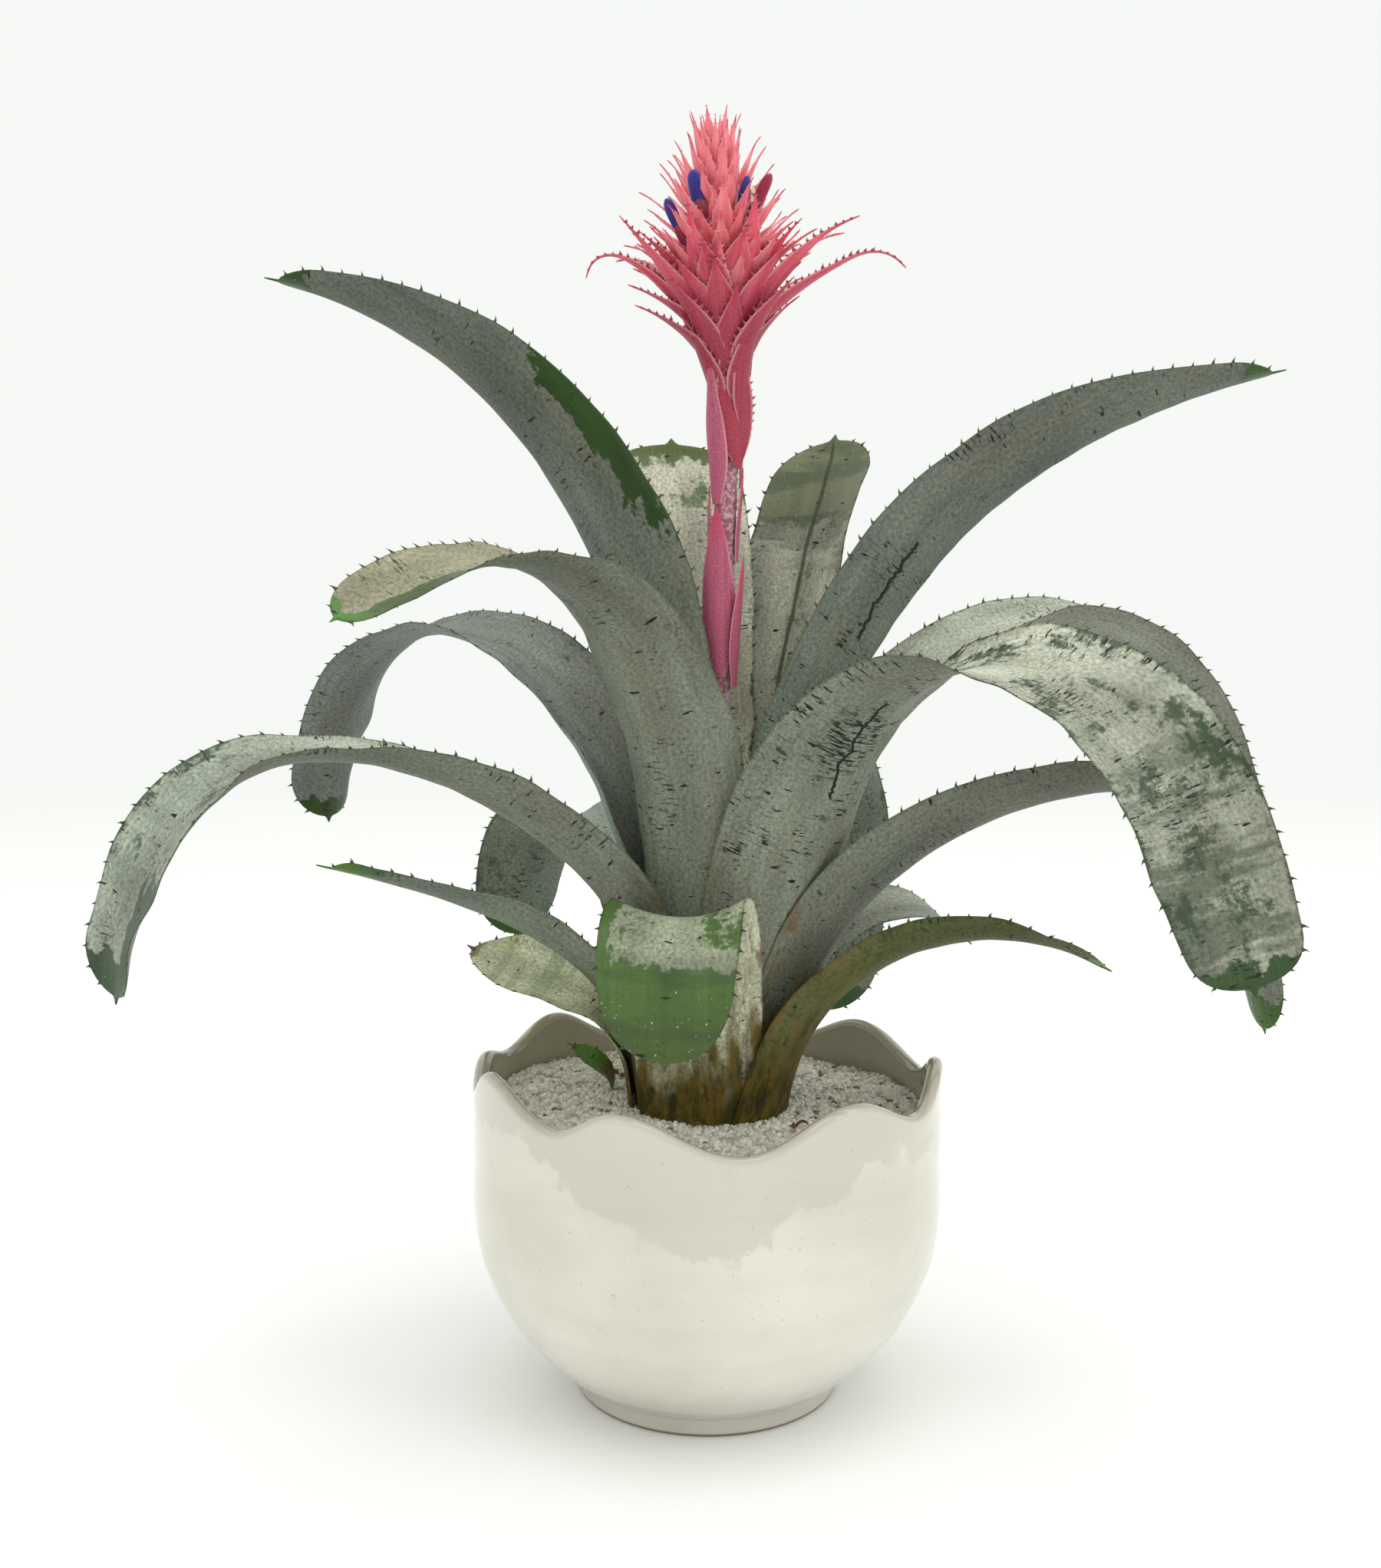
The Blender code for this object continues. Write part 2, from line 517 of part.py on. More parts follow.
def flower_axis(azimuth, radius, foot, lean, length):
    turn, tilt = math.radians(azimuth), math.radians(lean)
    start = Vector((radius * math.cos(turn), radius * math.sin(turn), foot))
    way = Vector((math.sin(tilt) * math.cos(turn), math.sin(tilt) * math.sin(turn), math.cos(tilt)))
    return start, start + way * length


def crosses_flower(azimuth, heading, reach, foot, length):
    """True if a bract's midrib passes too near to one of the flowers."""
    x, z, _ = leaf_route(heading, reach, foot, length, np.linspace(0, 1, 9))
    turn = math.radians(azimuth)
    for _, _, where, radius, low, lean, long, thick in FLOWERS:
        start, end = flower_axis(where, radius, low, lean, long)
        for a, b in zip(x, z):
            point = Vector((a * math.cos(turn), a * math.sin(turn), b))
            part = max(0.0, min(1.0, (point - start).dot(end - start) / (end - start).length_squared))
            if (point - start.lerp(end, part)).length < thick + 2.6:
                return True
    return False


def helper(name, points, faces, mat, group, parent):
    """A building piece for a Boolean: it takes part in the cut and isn't shown itself."""
    item = mesh_object(name, points, faces, mat, parent)
    item.hide_render = True
    item.display_type = "WIRE"
    bpy.context.collection.objects.unlink(item)
    group.objects.link(item)
    return item


def make_head(parent):
    pink = material("head_pink", SALMON, 0.5)
    pieces = bpy.data.collections.new("head_pieces")
    sockets = bpy.data.collections.new("flower_sockets")
    for group in (pieces, sockets):
        bpy.context.scene.collection.children.link(group)
    rings = [(radius, z, 0) for radius, z in zip(CORE_RADII, CORE_HEIGHTS)]
    frame = bpy.data.objects.new("head_frame", None)
    bpy.context.collection.objects.link(frame)
    frame.parent = parent
    frame.location = (STALK_LEAN * MM, 0, (STALK_TOP + HEAD_GAP) * MM)
    frame.rotation_euler.y = -math.radians(HEAD_TILT)
    head = mesh_object("flower_head", *capped(rings, 12), pink, frame)

    for k, spec in enumerate(HEAD_BRACTS):
        rooted = spec["foot"] > 0
        reach = core_radius(spec["foot"]) - 1.5 if rooted else STALK_RADIUS + 1.3
        points, faces = bract_solid(spec["heading"], reach, spec["foot"], spec["length"], spec["width"], 6)
        item = helper(f"head_bract_{k}", points, faces, pink, pieces, frame)
        item.rotation_euler.z = math.radians(spec["azimuth"])
    for k in range(CLUSTER_BRACTS):
        part = k / (CLUSTER_BRACTS - 1)
        azimuth = k * GOLDEN_ANGLE
        foot = 43 + 59 * part ** 1.15
        climb = 42 + 42 * part
        length = 37 - 17 * part
        heading, reach = (climb - 6, climb + 6), core_radius(foot) * 0.72
        if crosses_flower(azimuth, heading, reach, foot, length):
            continue
        points, faces = bract_solid(heading, reach, foot, length, 10.5 - 4.5 * part, 3)
        item = helper(f"cluster_bract_{k}", points, faces, pink, pieces, frame)
        item.rotation_euler.z = math.radians(azimuth)
    for name, color, azimuth, radius, foot, lean, length, thick in FLOWERS:
        start, end = flower_axis(azimuth, radius, foot, lean, length)
        petal = material(name, color, 0.45)
        shape = [(thick * r, length * h, 0) for r, h in
                 ((0.55, 0), (0.8, 0.1), (0.9, 0.4), (1.0, 0.7), (0.85, 0.9), (0.4, 1.0))]
        flower = mesh_object(name, *capped(shape, 10), petal, frame)
        hole = [(r + SOCKET_GAP, h, 0) for r, h, _ in shape]
        hole[0], hole[-1] = (hole[0][0], -SOCKET_GAP, 0), (hole[-1][0], length + SOCKET_GAP, 0)
        cutter = helper(name + "_socket", *capped(hole, 10), petal, sockets, frame)
        for item in (flower, cutter):
            item.location = start * MM
            item.rotation_euler = (end - start).to_track_quat("Z", "Y").to_euler()
    for group, operation in ((pieces, "UNION"), (sockets, "DIFFERENCE")):
        step = head.modifiers.new(operation.lower(), "BOOLEAN")
        step.operation = operation
        step.operand_type = "COLLECTION"
        step.collection = group
        step.solver = "EXACT"
        step.use_self = operation == "UNION"


def main():
    clear_scene()
    plant = bpy.data.objects.new("potted_plant", None)
    bpy.context.collection.objects.link(plant)
    make_pot(plant)
    make_filling(plant)
    make_leaves(plant)
    make_stalk(plant)
    make_head(plant)


main()
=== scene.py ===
# %% [markdown]
# # A potted urn plant in flower
#
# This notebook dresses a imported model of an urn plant: a rosette of silver-green leaves with
# hooked spines, a pink flower head on a woolly stalk, and a cream glazed pot with a scalloped
# rim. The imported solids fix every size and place. Each visible piece is then grown again with
# the fine shape and the finish that the solids leave out.

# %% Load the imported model
import math
from functools import partial

import bmesh
import bpy
import numpy as np
from mathutils import Matrix, Vector


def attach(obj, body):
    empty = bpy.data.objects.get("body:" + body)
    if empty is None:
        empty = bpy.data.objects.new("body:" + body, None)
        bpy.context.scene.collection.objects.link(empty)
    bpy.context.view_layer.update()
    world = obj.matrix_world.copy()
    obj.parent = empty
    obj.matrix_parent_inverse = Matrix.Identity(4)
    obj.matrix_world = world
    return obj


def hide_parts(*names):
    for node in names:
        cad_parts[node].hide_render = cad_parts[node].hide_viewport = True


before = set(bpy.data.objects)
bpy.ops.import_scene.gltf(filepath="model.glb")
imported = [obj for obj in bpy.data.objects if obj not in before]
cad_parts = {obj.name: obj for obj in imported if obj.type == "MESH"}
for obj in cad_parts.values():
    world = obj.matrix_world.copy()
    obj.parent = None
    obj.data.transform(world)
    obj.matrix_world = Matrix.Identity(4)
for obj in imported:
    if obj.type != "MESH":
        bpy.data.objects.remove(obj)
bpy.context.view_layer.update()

# %% [markdown]
# ## Camera, light and floor
#
# The plant was photographed from a little above the pot's rim, tilted down slightly, with a
# short telephoto field of view. A pale floor, an even pale surrounding and large soft lamps give
# the even light of a product picture: shadows are soft and lie close under the pot, and the glaze
# shows long soft highlights. The colours are left as they are, with no film curve, because the
# backdrop should stay a clean near-white.

# %% Camera
MM = 0.001
CAMERA_PLACE = Vector((0, -676, 316)) * MM
CAMERA_TILT = 4.756         # degrees below the horizon
CAMERA_TURN = 0.605         # degrees to the left
CAMERA_LENS = 36.67         # mm, on a sensor 36 mm along its long side

scene = bpy.context.scene
scene.view_settings.view_transform = "Standard"
camera = bpy.data.objects.new("camera", bpy.data.cameras.new("camera"))
scene.collection.objects.link(camera)
camera.data.lens = CAMERA_LENS
camera.data.clip_start = 0.01
camera.location = CAMERA_PLACE
camera.rotation_euler = (math.radians(90 - CAMERA_TILT), 0, math.radians(CAMERA_TURN))
scene.camera = camera
print("camera:", CAMERA_LENS, "mm lens, at", [round(c, 3) for c in CAMERA_PLACE], "m")


# %% Colours and nodes
def srgb(code):
    """A colour written as a hex value, turned into the linear values that the renderer mixes."""
    parts = [int(code[k:k + 2], 16) / 255 for k in (1, 3, 5)]
    return (*[c / 12.92 if c <= 0.04045 else ((c + 0.055) / 1.055) ** 2.4 for c in parts], 1.0)


def add(tree, kind, values=(), pick=None, **settings):
    """Add a node, set it up, and fill or link its inputs by order or by name.

    Returns one of its outputs: the one that pick names, or else the first in use.
    """
    full = kind if kind.startswith(("Geometry", "Function", "NodeGroup")) else "ShaderNode" + kind
    made = tree.nodes.new(full)
    for label, value in settings.items():
        setattr(made, label, value)
    sockets = [s for s in made.inputs if s.enabled]
    if isinstance(values, dict):
        by_name = {s.name: s for s in reversed(sockets)}
        pairs = [(by_name[label], value) for label, value in values.items()]
    else:
        pairs = zip(sockets, values)
    for socket, value in pairs:
        if isinstance(value, bpy.types.NodeSocket):
            tree.links.new(value, socket)
        else:
            socket.default_value = value
    return made.outputs[pick] if pick else next((s for s in made.outputs if s.enabled), None)


def blank(name, roughness, ior, **extras):
    """A new material with its constants set on the shader, its tree and the shader's inputs."""
    mat = bpy.data.materials.new(name)
    mat.use_nodes = True
    inputs = mat.node_tree.nodes["Principled BSDF"].inputs
    inputs["Roughness"].default_value = roughness
    inputs["IOR"].default_value = ior
    for label, value in extras.items():
        inputs[label.replace("_", " ")].default_value = value
    return mat, mat.node_tree, inputs


# settings that many nodes share
SMOOTH = dict(interpolation_type="SMOOTHSTEP")
COLOR = dict(data_type="RGBA")
PLUS = dict(operation="ADD")
LESS = dict(operation="SUBTRACT")
TIMES = dict(operation="MULTIPLY")
TIMES_PLUS = dict(operation="MULTIPLY_ADD")
LARGER = dict(operation="MAXIMUM")
UNSIGNED = dict(operation="ABSOLUTE")


# %% Lamps
def soft_lamp(name, place, aim, size, power):
    """A wide rectangular lamp turned to shine at aim. Places and sizes are in metres."""
    lamp = bpy.data.objects.new(name, bpy.data.lights.new(name, "AREA"))
    lamp.data.shape = "RECTANGLE"
    lamp.data.size, lamp.data.size_y = size
    lamp.data.energy = power
    lamp.location = place
    lamp.rotation_euler = (Vector(aim) - Vector(place)).to_track_quat("-Z", "Y").to_euler()
    scene.collection.objects.link(lamp)


soft_lamp("window_left", (-1.3, -1.0, 1.3), (0, 0, 0.25), (1.2, 1.4), 3)
soft_lamp("window_right", (1.5, -0.8, 1.2), (0, 0, 0.2), (0.9, 1.3), 7)
soft_lamp("ceiling", (0.2, 0.1, 1.8), (0, 0, 0.2), (1.3, 1.3), 9)
print("lamps:", ", ".join(lamp.name for lamp in bpy.data.lights))

# %% Surroundings and floor
world = bpy.data.worlds.new("studio")
scene.world = world
world.use_nodes = True
world.node_tree.nodes["Background"].inputs["Color"].default_value = srgb("#FAFCF9")
world.node_tree.nodes["Background"].inputs["Strength"].default_value = 0.97

FLOOR_HALF = 2.75           # m, from the middle to an edge
corners = ((-1, -1), (1, -1), (1, 1), (-1, 1))
floor_mesh = bpy.data.meshes.new("floor")
floor_mesh.from_pydata([(x * FLOOR_HALF, y * FLOOR_HALF, 0) for x, y in corners], [], [(0, 1, 2, 3)])
floor = bpy.data.objects.new("floor", floor_mesh)
scene.collection.objects.link(floor)
paper, tree, shader = blank("matte_white_paper", 0.9, 1.45, Specular_IOR_Level=0.0)
fibre = add(tree, "TexNoise", {"Vector": add(tree, "TexCoord", pick="Object"), "Scale": 3.0})
white = add(tree, "Mix", [fibre, srgb("#FAFBF9"), srgb("#FDFDFC")], **COLOR)
tree.links.new(white, shader["Base Color"])
floor_mesh.materials.append(paper)
print("floor:", 2 * FLOOR_HALF, "m across")


# %% [markdown]
# ## Helpers that every piece uses
#
# A piece is made from plain arrays of points in millimetres, because the formulas for a leaf or
# a turned pot are easy to write on whole rows of points at once. Smooth curves through a few
# values give the widths and bends along a leaf, which keeps the list of facts about each leaf
# short. Finished pieces sit at the origin with their place in their mesh.

# %% Curves and meshes
def spread(values, u):
    """Read a smooth curve through equally spaced values at u, from 0 to 1."""
    v = np.asarray(values, float)
    spans = len(v) - 1
    x = np.clip(np.asarray(u, float) * spans, 0, spans)
    k = np.minimum(x.astype(int), spans - 1)
    t = x - k
    p = np.concatenate([[2 * v[0] - v[1]], v, [2 * v[-1] - v[-2]]])
    a, b, c, d = p[k], p[k + 1], p[k + 2], p[k + 3]
    return b + 0.5 * t * (c - a + t * (2 * a - 5 * b + 4 * c - d + t * (3 * (b - c) + d - a)))


def ease(x, low, high):
    """0 below low, 1 above high, and a smooth step between."""
    t = np.clip((np.asarray(x, float) - low) / (high - low), 0, 1)
    return t * t * (3 - 2 * t)


# %% Meshes and their notes
def mesh_from(name, points, faces, sharp=50):
    """A mesh from points in millimetres, faces turned out, smooth but for creases over sharp degrees."""
    bm = bmesh.new()
    verts = [bm.verts.new(p) for p in np.asarray(points, float) * MM]
    for face in faces:
        bm.faces.new([verts[k] for k in face])
    bmesh.ops.recalc_face_normals(bm, faces=bm.faces)
    mesh = bpy.data.meshes.new(name)
    bm.to_mesh(mesh)
    bm.free()
    mesh.shade_smooth()
    mesh.set_sharp_from_angle(angle=math.radians(sharp))
    return mesh


def note(mesh, name, values, kind="FLOAT"):
    """Store one value per point, for a material or a node tree to read."""
    layer = mesh.attributes.new(name, kind, "POINT")
    flat = np.asarray(values).ravel().astype(bool if kind == "BOOLEAN" else np.float32)
    layer.data.foreach_set("vector" if kind == "FLOAT_VECTOR" else "value", flat)


# %% Pieces of the plant
def place(name, mesh, *materials):
    """Put a mesh in the scene as an object at the origin, with its materials."""
    item = bpy.data.objects.new(name, mesh)
    scene.collection.objects.link(item)
    for mat in materials:
        mesh.materials.append(mat)
    return item


def ready(item, slot, *nodes):
    """Hang a finished piece on the plant, in place of the solids that it stands for."""
    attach(item, "root")
    if nodes:
        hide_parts(*nodes)
    return item


def turned(points, degrees):
    """Points or directions turned about the upright axis."""
    c, s = math.cos(math.radians(degrees)), math.sin(math.radians(degrees))
    return np.asarray(points) @ np.array([[c, s, 0], [-s, c, 0], [0, 0, 1]])


# %% [markdown]
# ## The shape of a leaf
#
# An urn plant's leaf is a strap with a channelled cross section. It rises upright from a broad
# sheath, then arches over and hangs. It could be a curve with a bevel, but a bevel keeps one
# cross section, and this one opens and rolls on the way. So the midrib is walked in the leaf's
# own upright plane from a handful of climb angles, and the blade is swept along it with a width,
# a channel radius and a roll for each place. Real leaves also ripple along the margin and buckle
# where they bend, so a few slow waves with seeded phases push the surface in and out.

# %% The midrib
MIDRIB_STEPS = 480


def midrib(heading, reach, foot, length, u):
    """Reach, height and climb of the midrib at u."""
    fine = np.linspace(0, 1, MIDRIB_STEPS + 1)
    angle = np.radians(spread(heading, fine))
    step = length / MIDRIB_STEPS
    run = np.concatenate([[0], np.cumsum((np.cos(angle[1:]) + np.cos(angle[:-1])) / 2 * step)])
    rise = np.concatenate([[0], np.cumsum((np.sin(angle[1:]) + np.sin(angle[:-1])) / 2 * step)])
    return np.interp(u, fine, reach + run), np.interp(u, fine, foot + rise), np.interp(u, fine, angle)


# %% Ripples and buckles
RIPPLES = ((95, 1), (52, 0.6), (27, 0.35))      # length in mm and share of each wave of the margin
BUCKLES = ((38, 1), (17, 0.5))                  # and of each wave of the surface


def waves(chance, walked, places, lengths, shape):
    """Sum of slow waves along the blade, each with its own seeded phase."""
    total = 0
    for length, share in lengths:
        phase = walked / (length * chance.uniform(0.85, 1.15)) * 2 * math.pi + chance.uniform(0, 6.3)
        total = total + share * np.sin(phase)[:, None] * shape(places, chance)
    return total


def unevenness(chance, leaf, u, v, walked, width):
    """How far the surface is pushed out, in mm: none at the sheath, most at the margin."""
    free = ease(u, 0.2, 0.45) * (1 - 0.7 * ease(u, 0.93, 1)) * np.minimum(1, width / 40)
    ripple = sum(waves(chance, walked, v, RIPPLES, lambda p, _: np.clip(edge * p, 0, 1) ** 2.2)
                 for edge in (-1, 1))
    buckle = waves(chance, walked, v, BUCKLES,
                   lambda p, c: np.cos(p * c.uniform(2, 4) + c.uniform(0, 6.3)))
    return (ripple * leaf.get("ripple", 1.1) + buckle * leaf.get("buckle", 0.22)) * free[:, None]


# %% One blade
MUCRO_STEPS = np.array([0.35, 0.7, 1.0])        # the short point past the blade, as shares of its length
MUCRO_WIDTHS = np.array([0.55, 0.3, 0.08])      # and of the width where it starts
MUCRO_BODY = np.array([0.9, 0.75, 0.5])         # and of the thickness


def stations(length, tip, station):
    """Places along the blade, closer together where the tip rounds off, and where that starts."""
    body = max(4, round((length - tip) / station))
    rounding = max(3, round(tip / station) + 3)
    end = 1 - tip / length
    closer = np.sin(np.linspace(0, 1, rounding + 1)[1:] * math.pi / 2)
    return np.concatenate([np.linspace(0, end, body + 1), end + (1 - end) * closer]), end


def strap(name, leaf, reach, foot, seed, azimuth=0.0, thickness=1.0, station=2.6, columns=22):
    """A leaf-like blade, with the notes that its finish and its spines read.

    leaf holds its length, the length of its rounded tip, and lists read from foot to tip: the
    climb of the midrib (heading), the width laid flat, the channel's radius and the roll (twist).
    Its foot stands at reach from the axis and at height foot.
    """
    chance = np.random.default_rng(seed)
    length = leaf["length"]
    u, end = stations(length, leaf["tip"], station)
    x, z, angle = midrib(leaf["heading"], reach, foot, length, u)
    along = np.stack([np.cos(angle), 0 * angle, np.sin(angle)], 1)
    side = np.tile([0.0, 1.0, 0.0], (len(u), 1))
    upper = np.cross(along, side)
    roll = np.radians(spread(leaf["twist"], u))[:, None]
    side, upper = np.cos(roll) * side + np.sin(roll) * upper, np.cos(roll) * upper - np.sin(roll) * side
    blunt = np.clip((u - end) / (1 - end), 0, 1)
    width = spread(leaf["width"], u) * np.sqrt(np.clip(1 - blunt ** leaf.get("blunt", 2.2), 0.012, 1))
    curl = leaf.get("curl", 0) * ease(u, leaf.get("curl_from", 0.86), 1)
    bend = spread([1 / r for r in leaf["channel"]], u) + curl

    # past the blade the midrib runs on as a short point, the mucro
    mucro = MUCRO_STEPS * leaf.get("mucro", 3.0)
    base = np.stack([x, 0 * x, z], 1)
    base = np.concatenate([base, base[-1] + along[-1] * mucro[:, None]])
    side, upper, along = (np.concatenate([w, np.repeat(w[-1:], 3, 0)]) for w in (side, upper, along))
    width = np.concatenate([width, width[-1] * MUCRO_WIDTHS])
    bend = np.concatenate([bend, np.repeat(bend[-1:], 3)])
    u = np.concatenate([u, 1 + mucro / length])
    walked = u * length

    # the cross section is an arc, with its columns closer together near the midrib
    v = np.linspace(-1, 1, columns + 1)
    v = np.sign(v) * np.abs(v) ** 0.85
    turn = (bend * width / 2)[:, None] * v
    out, lift = np.sin(turn) / bend[:, None], (1 - np.cos(turn)) / bend[:, None]
    middle = base[:, None] + side[:, None] * out[..., None] + upper[:, None] * lift[..., None]
    normal = upper[:, None] * np.cos(turn)[..., None] - side[:, None] * np.sin(turn)[..., None]
    across = side[:, None] * np.cos(turn)[..., None] + upper[:, None] * np.sin(turn)[..., None]
    middle = middle + normal * unevenness(chance, leaf, u, v, walked, width)[..., None]

    # thick along the midrib, thin at the margins
    body = thickness * (1 - 0.62 * np.abs(v) ** 4) * np.ones((len(u), 1))
    body[-3:] *= MUCRO_BODY[:, None]
    sheets = [(middle + normal * body[..., None] * s / 2).reshape(-1, 3) for s in (1, -1)]
    return blade_mesh(name, sheets, u, v, walked, width, across, along, azimuth, leaf, seed)


# %% Skin of the blade, and its notes
def skin(rows, stride):
    """Faces of a thin closed blade: its upper side, its under side and the four edges between."""
    under = rows * stride
    i, j = np.meshgrid(np.arange(rows - 1), np.arange(stride - 1), indexing="ij")
    a = (i * stride + j).ravel()
    sheet = np.stack([a, a + 1, a + stride + 1, a + stride], 1)
    faces = [*sheet.tolist(), *(sheet[:, ::-1] + under).tolist()]
    for k in (0, stride - 1):
        e = np.arange(rows - 1) * stride + k
        faces += np.stack([e, e + stride, e + stride + under, e + under], 1).tolist()
    for r in (0, rows - 1):
        e = r * stride + np.arange(stride - 1)
        faces += np.stack([e, e + 1, e + 1 + under, e + under], 1).tolist()
    return faces


def blade_mesh(name, sheets, u, v, walked, width, across, along, azimuth, leaf, seed):
    """The blade's mesh, turned to its azimuth, with a note of every place on it and a flat UV map."""
    rows, stride = len(u), len(v)
    mesh = mesh_from(name, turned(np.concatenate(sheets), azimuth), skin(rows, stride), 60)

    outward = (across * np.sign(v)[:, None]).reshape(-1, 3)
    first = leaf.get("spines_from", 0.24)
    margin = np.zeros((rows, stride), bool)
    margin[np.ix_((u > first) & (u < 0.995), (0, stride - 1))] = True
    note(mesh, "along", np.tile(np.repeat(u, stride), 2))
    note(mesh, "across", np.tile(v, rows * 2))
    note(mesh, "upper", np.repeat([1.0, 0.0], rows * stride))
    note(mesh, "out", turned(np.tile(outward, (2, 1)), azimuth), "FLOAT_VECTOR")
    note(mesh, "tipward", turned(np.tile(np.repeat(along, stride, 0), (2, 1)), azimuth), "FLOAT_VECTOR")
    note(mesh, "spine_size", np.tile(np.repeat(0.4 + 0.6 * ease(u, first, first + 0.25), stride), 2))
    note(mesh, "margin", np.concatenate([margin.ravel(), np.zeros(rows * stride, bool)]), "BOOLEAN")

    # 1 on the map is 100 mm on the leaf, and each leaf lies in a row of its own
    lengthwise, sidewise = np.repeat(walked, stride), (width[:, None] / 2 * v).ravel()
    flat = np.stack([np.tile(lengthwise, 2), np.tile(sidewise, 2)], 1) / 100
    flat[:, 1] += 3.7 * seed
    corner = np.zeros(len(mesh.loops), int)
    mesh.loops.foreach_get("vertex_index", corner)
    mesh.uv_layers.new(name="strap").data.foreach_set("uv", flat[corner].ravel())
    return mesh


# %% [markdown]
# ## Spines along the margins
#
# Every margin carries dark hooked spines about 8 mm apart. A thousand of them would be slow to
# set by hand, and they repeat along a path, so Geometry Nodes set them: the margin's edges become
# curves, the curves are cut into equal steps, and one small hook is placed on each step. The
# blade's own notes say which way is out and which way the tip lies, so each hook leans towards
# the tip on every leaf, however it is twisted.

# %% Hooks and teeth
def hook_mesh(name, rings, sides, curl):
    """A flattened cone that points along +X and curls towards +Z, 1 m long before it is sized."""
    points = []
    for i in range(rings):
        t = i / rings
        half = 0.36 * (1 - t) ** 1.3 + 0.03
        for k in range(sides):
            turn = 2 * math.pi * k / sides
            points.append((t - 0.12 - 0.3 * half * math.sin(turn) * t, half * 0.32 * math.cos(turn),
                           curl * t ** 2 + half * math.sin(turn)))
    points.append((0.93, 0, curl * 1.12))
    faces = [tuple(range(sides))]
    for i in range(rings - 1):
        for k in range(sides):
            m = (k + 1) % sides
            faces.append((i * sides + k, i * sides + m, (i + 1) * sides + m, (i + 1) * sides + k))
    last = (rings - 1) * sides
    faces += [(last + k, last + (k + 1) % sides, rings * sides) for k in range(sides)]
    return mesh_from(name, np.array(points) / MM, faces, 80)


hook = bpy.data.objects.new("hook", hook_mesh("hook", 4, 6, 0.55))
tooth = bpy.data.objects.new("tooth", hook_mesh("tooth", 2, 4, 0.4))
print("hook:", len(hook.data.polygons), "faces, tooth:", len(tooth.data.polygons), "faces")


# %% Trees with named inputs
def tree_with(name, sockets):
    """A geometry tree with a geometry in and out and the named inputs asked for."""
    tree = bpy.data.node_groups.new(name, "GeometryNodeTree")
    tree.interface.new_socket("Geometry", in_out="INPUT", socket_type="NodeSocketGeometry")
    for label, kind in sockets:
        tree.interface.new_socket(label, in_out="INPUT", socket_type="NodeSocket" + kind)
    tree.interface.new_socket("Geometry", in_out="OUTPUT", socket_type="NodeSocketGeometry")
    return tree, tree.nodes.new("NodeGroupInput").outputs


def grow(item, tree, **values):
    """Run a tree on an object with its inputs set by name, and keep the result as a plain mesh."""
    step = item.modifiers.new(tree.name, "NODES")
    step.node_group = tree
    known = {s.name: s.identifier for s in tree.interface.items_tree if s.in_out == "INPUT"}
    for label, value in values.items():
        step[known[label.replace("_", " ")]] = value
    made = bpy.data.meshes.new_from_object(item.evaluated_get(bpy.context.evaluated_depsgraph_get()))
    item.modifiers.clear()
    item.data = made
    made.name = item.name
    return item


def finish_tree(tree, grown, mat, kept=None):
    """End a tree: real geometry instead of instances, its finish, and what it grew on."""
    real = add(tree, "GeometryNodeRealizeInstances", {"Geometry": grown})
    result = add(tree, "GeometryNodeSetMaterial", {"Geometry": real, "Material": mat})
    if kept is not None:
        both = tree.nodes.new("GeometryNodeJoinGeometry")
        tree.links.new(result, both.inputs[0])
        tree.links.new(kept, both.inputs[0])
        result = both.outputs[0]
    add(tree, "NodeGroupOutput", [result])


def uneven(tree, given, size):
    """A size that differs a little from copy to copy."""
    least = add(tree, "Math", [1.0, given["Uneven"]], **LESS)
    most = add(tree, "Math", [1.0, given["Uneven"]], **PLUS)
    luck = add(tree, "FunctionNodeRandomValue", {"Min": least, "Max": most, "Seed": given["Seed"]},
               data_type="FLOAT")
    return add(tree, "Math", [luck, size], **TIMES)


# %% The tree that sets the hooks
spine_tree, given = tree_with("spines_on_margins", (
    ("Hook", "Object"), ("Step", "Float"), ("Size", "Float"), ("Uneven", "Float"), ("Seed", "Int"),
    ("Finish", "Material")))
named = partial(add, spine_tree, "GeometryNodeInputNamedAttribute")
edges = add(spine_tree, "GeometryNodeMeshToCurve",
            {"Mesh": given["Geometry"], "Selection": named(["margin"], data_type="BOOLEAN")})
steps = add(spine_tree, "GeometryNodeResampleCurve", {"Curve": edges, "Length": given["Step"]},
            mode="LENGTH")
facing = add(spine_tree, "FunctionNodeAxesToRotation",
             {"Primary Axis": named(["out"], data_type="FLOAT_VECTOR"),
              "Secondary Axis": named(["tipward"], data_type="FLOAT_VECTOR")},
             primary_axis="X", secondary_axis="Z")
local_size = add(spine_tree, "Math", [given["Size"], named(["spine_size"], data_type="FLOAT")], **TIMES)
shape = add(spine_tree, "GeometryNodeObjectInfo", {"Object": given["Hook"]}, pick="Geometry")
hooks = add(spine_tree, "GeometryNodeInstanceOnPoints",
            {"Points": steps, "Rotation": facing, "Instance": shape,
             "Scale": uneven(spine_tree, given, local_size)})
finish_tree(spine_tree, hooks, given["Finish"], kept=given["Geometry"])
print("spine tree:", len(spine_tree.nodes), "nodes")

# %% [markdown]
# ## Leaf finish
#
# A leaf of this plant is dark green tissue under a coat of silver scales. The coat is thick and
# even on the underside, broken into cloudy cross bands on the upper face, and missing at the
# tip and where something rubbed it off, which leaves short dark scratches across the leaf. One
# grain pattern does all of this: it is compared with how thick the coat is at each place, so a
# thick coat shows as silver with dark specks, and a thin one as green with silver specks. The
# patterns are laid on the leaf's own flat map, so they bend with it, and only the stains of the
# sheaths are placed by their height above the grit.

